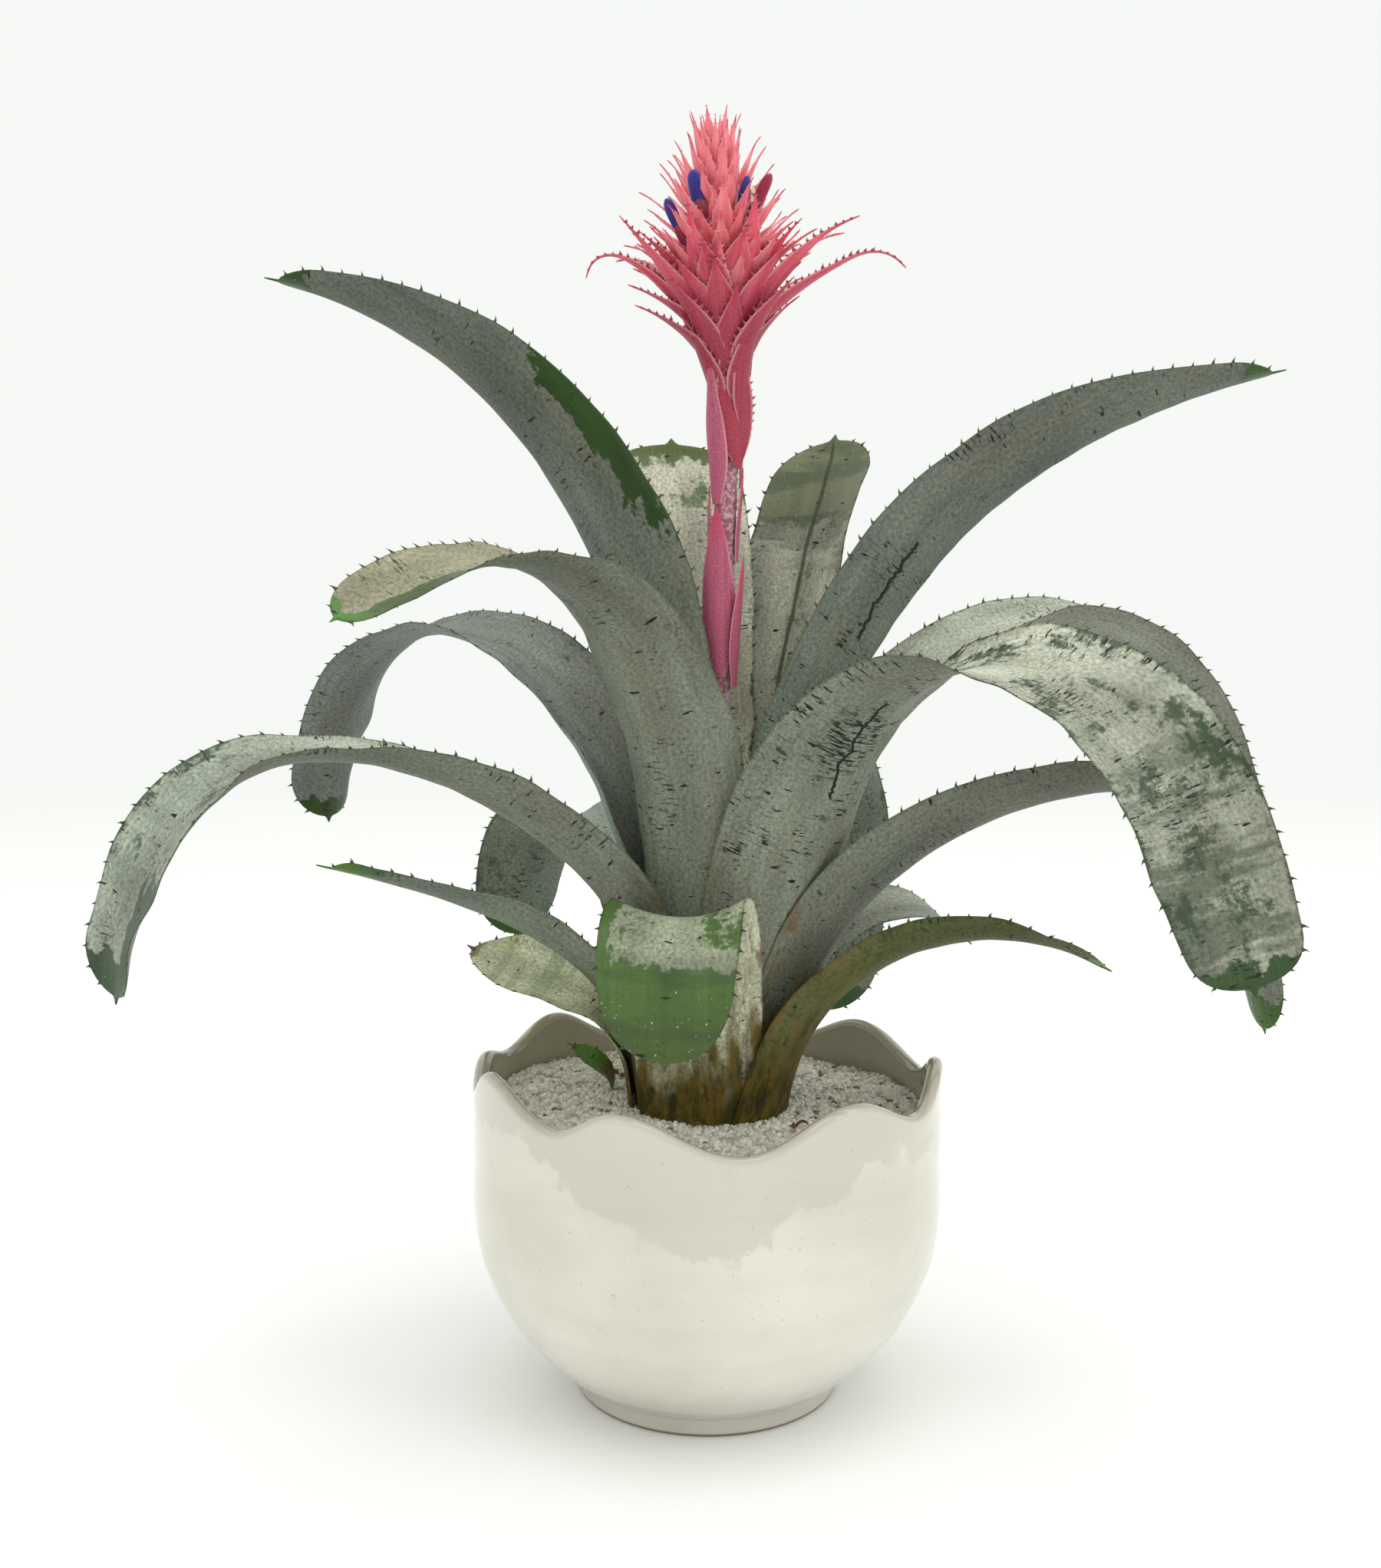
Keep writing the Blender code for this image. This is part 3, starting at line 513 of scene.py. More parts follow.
# %% Patterns sized in millimetres
VEIN = 2.2                  # between veins, real ones are closer than the picture can show


def cloud(tree, source, along_mm, across_mm, detail=2.0, rough=0.5, tilt=0.0):
    """A soft pattern whose spots are about along_mm by across_mm on the flat leaf."""
    sized = add(tree, "Mapping", {"Vector": source, "Rotation": (0, 0, tilt),
                                  "Scale": (100 / along_mm, 100 / across_mm, 1)})
    return add(tree, "TexNoise", {"Vector": sized, "Scale": 1.0, "Detail": detail, "Roughness": rough})


# %% How thick the coat of scales lies
def rubbed_patch(tree, flat, along, across, patch):
    """1 inside a rubbed place (from, to, across from, across to) with ragged borders, else 0."""
    node = partial(add, tree)
    stray = node("MapRange", [cloud(tree, flat, 20, 8, 6, 0.7), 0, 1, -0.42, 0.42])
    lengthwise = node("Math", [stray, 0.25, along], **TIMES_PLUS)
    sidewise = node("Math", [across, stray], **PLUS)
    inside = node("Math", [node("MapRange", [lengthwise, patch[0], patch[0] + 0.05], **SMOOTH),
                           node("MapRange", [lengthwise, patch[1], patch[1] - 0.05], **SMOOTH)], **TIMES)
    for limit, soften in ((patch[2], 0.12), (patch[3], -0.12)):
        part = node("MapRange", [sidewise, limit - soften, limit + soften], **SMOOTH)
        inside = node("Math", [inside, part], **TIMES)
    return inside


def coat_cover(tree, flat, along, across, upper, bare_from, bare_soft, cover, upper_cover, bands, patch):
    """Cover from 0 to 1, with bands, a thin edge, a bare tip and a rubbed patch."""
    node, spots = partial(add, tree), partial(cloud, tree, flat)
    level = node("MapRange", [upper, 0.4, 0.6, cover, upper_cover])
    strength = node("MapRange", [upper, 0.4, 0.6, bands, bands * 2.6])
    band = node("Math", [node("Math", [spots(17, 45, 3), 0.5], **LESS), strength], **TIMES)
    swing = node("MapRange", [upper, 0.4, 0.6, 0.3, 0.9])
    soft = node("Math", [node("Math", [spots(30, 18, 3), 0.5], **LESS), swing], **TIMES)
    level = node("Math", [node("Math", [level, band], **PLUS), soft], **PLUS)
    ragged = node("Math", [along, node("MapRange", [spots(11, 9, 3), 0, 1, -0.025, 0.025])], **PLUS)
    bare = node("MapRange", [ragged, bare_from - bare_soft, bare_from + 0.008, 1.0, 0.12], **SMOOTH)
    level = node("Math", [level, bare], **TIMES)
    edge = node("MapRange", [node("Math", [across], **UNSIGNED), 0.9, 1.0, 1.0, 0.78], **SMOOTH)
    level = node("Math", [level, edge], **TIMES)
    if patch:
        inside = rubbed_patch(tree, flat, along, across, patch)
        level = node("Math", [level, node("MapRange", [inside, 0.0, 1.0, 1.0, 0.05])], **TIMES)
    return level


# %% Scratches through the coat
def long_scar(tree, flat, along, across, scar):
    """One shaky dark line between two places, given as (along, across, along, across)."""
    node = partial(add, tree)
    part = node("MapRange", [along, scar[0], scar[2], 0, 1], clamp=False)
    course = node("MapRange", [part, 0, 1, scar[1], scar[3]], clamp=False)
    shake = node("MapRange", [cloud(tree, flat, 9, 90, 5, 0.6), 0.2, 0.8, -0.1, 0.1])
    gap = node("Math", [node("Math", [across, course], **LESS), shake], **PLUS)
    cut = node("MapRange", [node("Math", [gap], **UNSIGNED), 0.033, 0.016], **SMOOTH)
    off_middle = node("Math", [node("Math", [part, 0.5], **LESS)], **UNSIGNED)
    return node("Math", [cut, node("MapRange", [off_middle, 0.5, 0.47], **SMOOTH)], **TIMES)


def near(tree, along, across, scuff):
    """1 in the middle of a scuffed place (along, across, reach along, reach across), 0 around it."""
    node = partial(add, tree)
    apart = node("VectorMath", [node("CombineXYZ", [along, across]), (scuff[0], scuff[1], 0)], **LESS)
    apart = node("VectorMath", [apart, (1 / scuff[2], 1 / scuff[3], 0)], **TIMES)
    return node("MapRange", [node("VectorMath", [apart], operation="LENGTH"), 1.0, 0.4], **SMOOTH)


def scratch_marks(tree, flat, along, across, scratches, scar, scuff):
    """Short dark cuts, mostly across the leaf: in loose groups, in a scuffed place, and strays."""
    node, spots = partial(add, tree), partial(cloud, tree, flat)
    group = node("MapRange", [spots(30, 20, 3), 0.62 - 0.16 * scratches, 0.70 - 0.12 * scratches], **SMOOTH)
    line = node("Math", [spots(1.4, 10, 4, 0.62), spots(1.5, 8, 4, 0.62, 0.7)], **LARGER)
    if scuff:
        dense = near(tree, along, across, scuff)
        group = node("Math", [group, dense], **LARGER)
        line = node("Math", [node("Math", [dense, 0.045], **TIMES), line], **PLUS)
    line = node("MapRange", [line, 0.585, 0.615], **SMOOTH)
    stray = node("MapRange", [spots(2.4, 9, 3), 0.68 - 0.035 * scratches, 0.70], **SMOOTH)
    marks = node("Math", [node("Math", [group, line], **TIMES), stray], **LARGER)
    if scar:
        marks = node("Math", [marks, long_scar(tree, flat, along, across, scar)], **LARGER)
    return marks


# %% Tissue and meal
def green_tissue(tree, flat, along, upper, tissue, tip, bare_from):
    """The leaf's own green, cloudy, darker below, and of another tone at the bare tip."""
    node = partial(add, tree)
    uneven_green = node("MapRange", [cloud(tree, flat, 45, 14, 3), 0.3, 0.7, 0.8, 1.3])
    green = node("VectorMath", [srgb(tissue)[:3], uneven_green], **TIMES)
    at_tip = node("MapRange", [along, bare_from - 0.03, 1.0], **SMOOTH)
    green = node("Mix", [at_tip, green, srgb(tip)], **COLOR)
    return node("VectorMath", [green, node("MapRange", [upper, 0.4, 0.6, 0.6, 1.0])], **TIMES)


def silver_meal(tree, flat, along, upper, coat, under, fade):
    """The dry scales: pale above, greyer below, grainy, and painted lighter near the sheath."""
    node, spots = partial(add, tree), partial(cloud, tree, flat)
    duller = node("MapRange", [along, 0.5, 1.0, 0, fade])
    white = node("Mix", [duller, srgb(coat), srgb("#4E5648")], **COLOR)
    meal = node("Mix", [node("MapRange", [upper, 0.4, 0.6]), srgb(under), white], **COLOR)
    meal = node("VectorMath", [meal, node("MapRange", [spots(50, 16, 4), 0.3, 0.7, 0.72, 1.2])], **TIMES)
    # painted light: brighter near the sheath, to lift the shade among the leaf bases, and darker out
    # towards the tip
    meal = node("VectorMath", [meal, node("MapRange", [along, 0.34, 0.74, 1.42, 0.84])], **TIMES)
    warm = node("MapRange", [spots(80, 26, 3), 0.45, 0.62, 0, 0.32], **SMOOTH)
    meal = node("Mix", [warm, meal, srgb("#6E6A58")], **COLOR)
    grain = node("MapRange", [spots(1.5, 1.5, 3, 0.6), 0.32, 0.68, 0.66, 1.34])
    return node("VectorMath", [meal, grain], **TIMES)


# %% Marks on the coat
def marked(tree, flat, along, across, upper, color, bare_from, stripes, shadow, midline_shade):
    """The coat's colour: slanting stripes, pale specks, dark dots, and painted shade near the tip and in
    the middle crease.
    """
    node, spots = partial(add, tree), partial(cloud, tree, flat)
    if stripes:
        slant = node("MapRange", [spots(7, 80, 3, 0.5, 0.6), 0.53, 0.57, 0, stripes], **SMOOTH)
        color = node("Mix", [slant, color, srgb("#7E945A")], **COLOR)
    speck = node("MapRange", [spots(1.4, 1.4, 2), 0.70, 0.73, 0, 0.9], **SMOOTH)
    speck = node("Math", [speck, node("MapRange", [along, bare_from, bare_from + 0.01])], **TIMES)
    color = node("Mix", [speck, color, srgb("#DFE3D0")], **COLOR)
    dots = node("MapRange", [spots(1.3, 1.1, 2, 0.6), 0.60, 0.66, 0, 0.55], **SMOOTH)
    dots = node("Math", [dots, node("MapRange", [spots(34, 18, 3), 0.35, 0.6], **SMOOTH)], **TIMES)
    color = node("Mix", [dots, color, srgb("#23281B")], **COLOR)
    if shadow:
        dark = node("MapRange", [spots(13, 70, 4, 0.6), 0.46, 0.58, 0, shadow], **SMOOTH)
        dark = node("Math", [dark, node("MapRange", [along, 0.68, 0.86], **SMOOTH)], **TIMES)
        dark = node("Math", [dark, node("MapRange", [upper, 0.4, 0.6], **SMOOTH)], **TIMES)
        color = node("Mix", [dark, color, srgb("#34442D")], **COLOR)
    # painted shade: a dark line down the middle crease, where the channel shades itself
    if midline_shade:
        fold_shade = node("Math", [node("MapRange", [spots(40, 30, 3), 0.3, 0.7, -0.07, 0.07]), across], **PLUS)
        fold_shade = node("MapRange", [node("Math", [fold_shade], **UNSIGNED), 0.07, 0.02, 0, midline_shade], **SMOOTH)
        color = node("Mix", [fold_shade, color, srgb("#2F3B22")], **COLOR)
    vein = node("MapRange", [spots(160, VEIN, 2), 0.35, 0.65, 0.94, 1.05])
    return node("VectorMath", [color, vein], **TIMES)


# %% Stains of the sheath
def stained_sheath(tree, flat, along, across, color, sheath_to):
    """Ochre and brown low on the leaf, rusty margins, and dark streaks where it leaves the grit."""
    node, spots = partial(add, tree), partial(cloud, tree, flat)
    height = node("SeparateXYZ", [node("TexCoord", pick="Object")], pick="Z")
    sheath = node("MapRange", [along, sheath_to, sheath_to - 0.15], **SMOOTH)
    stain = node("Math", [node("MapRange", [height, 0.215, 0.15], **SMOOTH),
                          node("MapRange", [spots(26, 9, 4), 0.44, 0.6], **SMOOTH)], **TIMES)
    color = node("Mix", [node("Math", [stain, sheath], **TIMES), color, srgb("#6E6030")], **COLOR)
    border = node("Math", [node("Math", [across], **UNSIGNED),
                           node("MapRange", [spots(14, 7, 4, 0.6), 0.3, 0.7, -0.45, 0.25])], **PLUS)
    rust = node("Math", [node("MapRange", [border, 0.78, 0.98], **SMOOTH),
                         node("MapRange", [height, 0.25, 0.19, 0.0, 0.8], **SMOOTH)], **TIMES)
    color = node("Mix", [node("Math", [rust, sheath], **TIMES), color, srgb("#6B5226")], **COLOR)
    low = node("MapRange", [node("Math", [spots(22, 8, 4), 0.05, height], **TIMES_PLUS), 0.195, 0.155],
               **SMOOTH)
    ochre = node("Mix", [node("MapRange", [spots(15, 7, 5, 0.65), 0.42, 0.56], **SMOOTH),
                         srgb("#423B0F"), srgb("#67541A")], **COLOR)
    color = node("Mix", [node("Math", [low, sheath], **TIMES), color, ochre], **COLOR)
    streak = node("Math", [node("MapRange", [spots(17, 6, 6, 0.7), 0.53, 0.58], **SMOOTH),
                           node("MapRange", [height, 0.2, 0.14, 0.0, 0.6], **SMOOTH)], **TIMES)
    return node("Mix", [node("Math", [streak, sheath], **TIMES), color, srgb("#1E1C0C")], **COLOR)


# %% Leaf tissue under silver scales
def scaly_leaf(name, cover=0.85, upper_cover=0.66, bands=0.22, bare_from=0.97, bare_soft=0.01, patch=None,
               tissue="#3D5229", tip="#4E7A2A", coat="#A2A796", under="#777D70", fade=0.0,
               scratches=0.5, scar=None, scuff=None, stripes=0.0, shadow=0.0, midline_shade=0.0,
               sheath_to=0.45):
    """Living leaf: waxy tissue, IOR near 1.45, under a dry mealy coat that scatters light.

    The coat: cover and upper_cover are how much of it there is below and above, bands how
    strongly it is banded, bare_from where along the leaf it ends and bare_soft how gradually,
    patch a rubbed place. Tones: tissue, and tip at the bare end, coat and under above and below,
    fade how much duller the upper one gets to the tip. Marks: scratches is how many there are,
    scar and scuff are a long cut and a scraped place, stripes how strongly the stripes show, and
    shadow and the midline how strongly the painted shade near the tip and the painted shade along
    the middle crease show. sheath_to is how far up the stains reach. Places are given along the
    leaf from 0 to 1 and across it from -1 to 1.
    """
    mat, tree, shader = blank(name, 0.5, 1.45, Specular_IOR_Level=0.3)
    node = partial(add, tree)
    flat = node("UVMap", uv_map="strap")
    spots = partial(cloud, tree, flat)
    along, across, upper = (node("Attribute", attribute_name=label, pick="Fac")
                            for label in ("along", "across", "upper"))

    # silver where the coat's thickness beats the grain of the worn places
    level = coat_cover(tree, flat, along, across, upper, bare_from, bare_soft, cover, upper_cover,
                       bands, patch)
    coarse = node("Math", [spots(7, 6, 6, 0.68), 0.42], **TIMES)
    worn = node("Math", [spots(2.4, 3.2, 4, 0.7), 0.42, coarse], **TIMES_PLUS)
    silver = node("MapRange", [node("Math", [level, 0.62, worn], **TIMES_PLUS), 0.67, 0.78], **SMOOTH)

    green = green_tissue(tree, flat, along, upper, tissue, tip, bare_from)
    meal = silver_meal(tree, flat, along, upper, coat, under, fade)
    color = node("Mix", [silver, green, meal], **COLOR)
    color = marked(tree, flat, along, across, upper, color, bare_from, stripes, shadow, midline_shade)
    scratch = scratch_marks(tree, flat, along, across, scratches, scar, scuff)
    color = node("Mix", [scratch, color, srgb("#161B11")], **COLOR)
    rim = node("MapRange", [node("Math", [across], **UNSIGNED), 0.965, 0.99, 0.0, 0.45], **SMOOTH)
    color = node("Mix", [rim, color, srgb("#48542F")], **COLOR)
    color = stained_sheath(tree, flat, along, across, color, sheath_to)

    # the mealy coat is duller than bare tissue, and stands a little above it
    tree.links.new(color, shader["Base Color"])
    tree.links.new(node("MapRange", [silver, 0, 1, 0.36, 0.62]), shader["Roughness"])
    relief = node("Math", [silver, 0.5, spots(160, VEIN, 1)], **TIMES_PLUS)
    tree.links.new(node("Bump", {"Strength": 0.5, "Distance": 0.0006, "Height": relief}), shader["Normal"])
    return mat


# %% Spine tissue
def spine_horn(name, dark, pale):
    """Dried horny tissue, as in spines and bark crumbs: hard, slightly shiny, in two close tones."""
    mat, tree, shader = blank(name, 0.4, 1.5)
    spots = add(tree, "TexNoise", {"Vector": add(tree, "TexCoord", pick="Object"), "Scale": 160.0})
    tree.links.new(add(tree, "Mix", [spots, srgb(dark), srgb(pale)], **COLOR), shader["Base Color"])
    return mat


# %% [markdown]
# ## The leaves
#
# Seventeen leaves stand in layers around the stalk. They could be copies of one leaf, turned and
# scaled, but no two leaves of a plant arch alike, so each is described by itself: the azimuth it
# leans to, its length, and short lists read from foot to tip, with the climb of its midrib, its
# width, the radius of its channel and its roll. The finish differs from leaf to leaf too, because
# old, low leaves lose their coat and young ones are pale with it.

# %% Shapes of the leaves
BUNDLE_RADIUS = 33.0        # mm from the axis to the feet of the outermost layer
LAYER_PITCH = 1.8           # mm that each layer stands further in
LEAF_FOOT = 105.5           # mm above the floor
SPINE_STEP = 8.0
SPINE_SIZE = 2.1

LEAVES = dict(
    low_right=dict(azimuth=340, layer=0, length=190, heading=(88, 70, 44, 22, -2, -26),
                   width=(64, 60, 48, 38, 28, 12), channel=(33, 36, 28, 24, 20, 16),
                   twist=(0, 0, -10, -20, -20, 0), tip=14),
    yellow=dict(azimuth=171, layer=0, length=122, heading=(88, 84, 62, 26, 14, 30),
                width=(38, 34, 42, 46, 40, 26), channel=(33, 34, 36, 38, 40, 40),
                twist=(0, 0, -6, -26, -30, -20), tip=16),
    front=dict(azimuth=260, layer=1, length=184, blunt=4, heading=(85, 83, 81, 71, -6, -76, -88),
               width=(53, 54, 60, 61, 57, 53, 43), channel=(31.2, 40, 44, 44, 60, 90, 120),
               twist=(0, 0, 0, 0, 0, 0, 0), tip=34),
    low_back=dict(azimuth=27, layer=1, length=174, heading=(88, 77, 60, 25, -16, -42),
                  width=(34, 34, 34, 32, 30, 24), channel=(31.2, 32, 30, 30, 34, 34),
                  twist=(0, 0, 0, 20, 20, 0), tip=20),
    back_left_low=dict(azimuth=126, layer=1, length=256, heading=(88, 78, 48, 20, -50, -90),
                       width=(34, 36, 50, 57, 55, 46), channel=(31.2, 34, 36, 40, 50, 60),
                       twist=(0, 0, 0, 0, 0, 0), tip=26),
    small_left=dict(azimuth=190, layer=2, length=196, mucro=6, curl=0.1, curl_from=0.9,
                    heading=(88, 78, 46, 28, 18, 14), width=(38, 38, 40, 35, 22, 15),
                    channel=(29.4, 29, 24, 20, 20, 14), twist=(0, 0, 10, 20, 20, 10), tip=14),
    side_right=dict(azimuth=348, layer=2, length=281, heading=(88, 73, 49, 27, 6, -18),
                    width=(48, 54, 54, 46, 42, 34), channel=(29.4, 33, 26, 22, 26, 34),
                    twist=(0, -16, -24, -25, -15, 0), tip=24),
    low_left=dict(azimuth=203, layer=3, length=374, heading=(88, 84, 46, 26, -1, -55, -86),
                  width=(56, 56, 58, 54, 50, 48, 40), channel=(27.6, 28, 28, 30, 40, 40, 40),
                  twist=(0, 0, 5, 5, -5, -20, -20), tip=20),
    back_right_low=dict(azimuth=67, layer=3, length=358, heading=(88, 74, 52, -24, -90, -104),
                        width=(52, 52, 56, 62, 60, 50), channel=(27.6, 28, 30, 40, 60, 60),
                        twist=(0, 0, 0, 0, 0, 0), tip=28),
    big_right=dict(azimuth=319, layer=4, length=413, heading=(86, 82, 65, 36, -12, -58, -74),
                   width=(54, 62, 68, 60, 52, 50, 42), channel=(25.8, 34, 38, 34, 50, 90, 120),
                   twist=(0, -12, -26, -8, 25, 38, 38), tip=20, blunt=3.4),
    arch_left=dict(azimuth=150, layer=5, length=406, heading=(88, 87, 69, 44, 4, -52, -88),
                   width=(44, 48, 60, 54, 50, 48, 44), channel=(24, 24, 26, 32, 40, 40, 40),
                   twist=(0, 0, -10, -15, -10, 0, 0), tip=22),
    arch_right=dict(azimuth=19, layer=5, length=536, heading=(88, 76, 50, 16, -49, -75, -74),
                    width=(46, 54, 58, 54, 52, 46, 28), channel=(24, 24, 26, 28, 34, 34, 30),
                    twist=(0, 0, 10, 10, 0, 0, 0), tip=24),
    centre_left=dict(azimuth=236, layer=6, length=377, heading=(88, 88, 77, 43, -2, -27),
                     width=(40, 48, 72, 60, 36, 16), channel=(22.2, 23, 28, 28, 26, 24),
                     twist=(0, 0, 0, 0, -10, -40), tip=16),
    upper_right=dict(azimuth=357, layer=7, length=424, mucro=6, heading=(88, 86, 65, 54, 28, 12),
                     width=(42, 48, 66, 66, 50, 16), channel=(20.4, 21, 24, 24, 20, 14),
                     twist=(0, 0, -15, -30, -30, -10), tip=16),
    upper_left=dict(azimuth=182, layer=8, length=434, mucro=6, heading=(88, 89, 84, 65, 39, 12),
                    width=(40, 44, 64, 68, 52, 16), channel=(18.6, 21, 30, 26, 22, 14),
                    twist=(0, 13, 37, 38, 30, 10), tip=16),
    back_right=dict(azimuth=40, layer=9, length=311, heading=(88, 88, 81, 75, 73, 72),
                    width=(36, 40, 58, 66, 66, 62), channel=(16.8, 17, 22, 30, 60, 120),
                    twist=(0, 0, 0, 0, 0, 0), tip=20),
    back_left=dict(azimuth=105, layer=11, length=310, heading=(88, 88, 84, 78, 74, 70),
                   width=(30, 34, 44, 58, 64, 60), channel=(13.2, 14, 20, 32, 60, 120),
                   twist=(0, 0, 0, 0, 0, 0), tip=18),
)
print("leaves:", len(LEAVES), "in", len({leaf["layer"] for leaf in LEAVES.values()}), "layers")

# %% Finish of each leaf
COATS = dict(
    low_right=dict(cover=0.6, upper_cover=0.6, bands=0.3, scratches=0.3, tissue="#3F4D1E",
                   coat="#676B42", under="#505730", sheath_to=0.62),
    yellow=dict(cover=0.7, upper_cover=0.66, bands=0.2, scratches=0.1, bare_from=0.98, stripes=0.35,
                tissue="#B0BE7C", coat="#F2F6D2", under="#F2F6D2", tip="#7A5A34"),
    front=dict(cover=0.8, upper_cover=0.62, bands=0.3, scratches=0.2, bare_from=0.84, bare_soft=0.05,
               tissue="#4A6533", tip="#45592A", coat="#A5AB92", under="#CBCCB4", shadow=0.45,
               patch=(0.5, 0.9, -1.6, -0.84), sheath_to=0.66),
    low_back=dict(cover=0.7, upper_cover=0.65, bands=0.3, tissue="#4C6A4E", under="#7F8678"),
    back_left_low=dict(cover=0.6, upper_cover=0.62, bands=0.2, tissue="#46594A", coat="#8C9A8A",
                       under="#6F7C6C"),
    small_left=dict(cover=0.8, upper_cover=0.66, bands=0.2, scratches=0.3, bare_from=0.9,
                    tissue="#4E6550", tip="#6A9436", under="#6C7768", sheath_to=0.5),
    side_right=dict(scratches=0.5, under="#686C60"),
    low_left=dict(cover=0.86, upper_cover=0.66, bands=0.16, bare_from=0.965, tissue="#4A5A49",
                  tip="#2C4420", coat="#B4BDAB", under="#676C5F", fade=0.2, shadow=0.2,
                  patch=(0.86, 1.1, 0.1, 1.6)),
    back_right_low=dict(cover=0.65, upper_cover=0.66, bands=0.2, tissue="#4F6650", tip="#4C6B3E",
                        coat="#8E9A8B", under="#727C70"),
    big_right=dict(upper_cover=0.58, bands=0.2, scratches=0.9, bare_from=0.985, tissue="#3D4C36",
                   tip="#2F4A22", coat="#C2C6B1", under="#717668", fade=0.45, shadow=0.62,
                   scar=(0.38, 0.12, 0.51, -0.2), scuff=(0.45, -0.1, 0.07, 0.7)),
    arch_left=dict(cover=0.9, upper_cover=0.74, scratches=0.35, bare_from=0.98, tip="#3E5E25",
                   coat="#7C8178", under="#7A817A"),
    arch_right=dict(cover=0.84, upper_cover=0.75, scratches=0.3, under="#82867A"),
    centre_left=dict(cover=0.92, upper_cover=0.85, scratches=0.5, bare_from=0.985, tip="#4C7A2C",
                     coat="#A5A386", under="#6E7365", patch=(0.84, 1.1, 0.5, 1.3)),
    upper_right=dict(cover=0.92, upper_cover=0.7, scratches=0.65, bare_from=0.975, tip="#3E6A24",
                     under="#636A60", scar=(0.52, -0.36, 0.63, -0.4)),
    upper_left=dict(cover=0.92, upper_cover=0.7, scratches=0.3, bare_from=0.97, tissue="#294A0E",
                    tip="#2F5A1E", under="#60675C", patch=(0.57, 0.79, 0.64, 1.6)),
    back_right=dict(cover=0.7, upper_cover=0.68, bands=0.3, scratches=0.2, bare_from=0.91,
                    bare_soft=0.06, tissue="#6E755A", tip="#7F8865", coat="#BFC1AE", midline_shade=0.8,
                    shadow=0.5),
    back_left=dict(cover=0.8, upper_cover=0.7, bands=0.25, scratches=0.2, bare_from=0.985,
                   bare_soft=0.03, tissue="#6B7B58", tip="#5E6C3F", coat="#E4E7D0"),
)
SLOTS = dict(low_right="deep_leaf", front="deep_leaf", yellow="pale_leaf")

# %% Grow the leaves
horn = spine_horn("dark_horn_spine", "#1E2015", "#43401F")
for seed, (name, leaf) in enumerate(LEAVES.items(), 1):
    reach = BUNDLE_RADIUS - leaf["layer"] * LAYER_PITCH
    mesh = strap("blade_" + name, leaf, reach, LEAF_FOOT, seed, leaf["azimuth"])
    blade = place("blade_" + name, mesh, scaly_leaf("scaly_leaf_" + name, **COATS[name]))
    grow(blade, spine_tree, Hook=hook, Step=SPINE_STEP * MM, Size=SPINE_SIZE * MM, Uneven=0.3, Seed=seed,
         Finish=horn)
    ready(blade, SLOTS.get(name, "silver_leaf"), "leaf_" + name)
    print(name, len(blade.data.polygons), "faces")

# %% [markdown]
# ## The pot
#
# The pot was thrown on a wheel and cut by hand along the rim into unequal scallops. A Screw
# modifier could turn its profile, but it would leave every ring level. Here each ring is
# computed, so near the rim it can be lifted by a smooth wave through the scallops, and a slow
# wobble of half a millimetre keeps the bowl from looking machined.

# %% Profile of the pot
POT_RADIUS = 100.0          # mm, as are all sizes here
BELLY_LEVEL = 85.0          # the wall is upright above this height
BELLY_DEPTH = 94.5          # and curves in below it as an ellipse this deep
WALL = 6.5
FOOT_RADIUS = 56.3
RIM_MIDDLE = 140.0
WAVE_FADES_AT = 112.0
POT_SEGMENTS = 288

# crests and troughs of the scallops around the rim, as azimuth and height
RIM = ((15, 132), (42, 143), (66, 131), (92, 143), (116, 132), (138, 146), (158, 136), (174, 141),
       (190, 133), (206, 146), (233, 133), (249, 143), (278, 128.5), (305, 144), (329, 132), (352, 145))

# lower ends of the thin glaze
THIN_GLAZE = ((196, 128), (214, 124), (232, 118), (244, 103), (258, 92), (272, 90), (283, 94),
              (290, 112), (300, 106), (312, 118), (330, 121), (345, 112), (360, 121))


# %% Wave of the rim
def wave_through(stops, azimuth):
    """A soft wave around the pot through pairs of azimuth and height."""
    where, height = np.array(stops, float).T
    where = np.concatenate([[where[-1] - 360], where, [where[0] + 360]])
    height = np.concatenate([[height[-1]], height, [height[0]]])
    k = np.clip(np.searchsorted(where, azimuth) - 1, 0, len(where) - 2)
    t = (azimuth - where[k]) / (where[k + 1] - where[k])
    return height[k] + (height[k + 1] - height[k]) * (0.5 - 0.5 * np.cos(math.pi * t))


def outer_radius(z):
    """Radius of the pot's outside at height z."""
    depth = np.clip((BELLY_LEVEL - np.asarray(z, float)) / BELLY_DEPTH, 0, 1)
    return POT_RADIUS * np.sqrt(1 - depth ** 2)


# the foot ring, from inside to where the belly starts, as steps from its radius and heights
FOOT_RING = ((-5.4, 1.6), (-4.2, 0.3), (-3.4, 0), (-1.4, 0), (-0.4, 0.5), (0, 1.6), (0, 5.6), (0.15, 7.2),
             (0.9, 8.3))


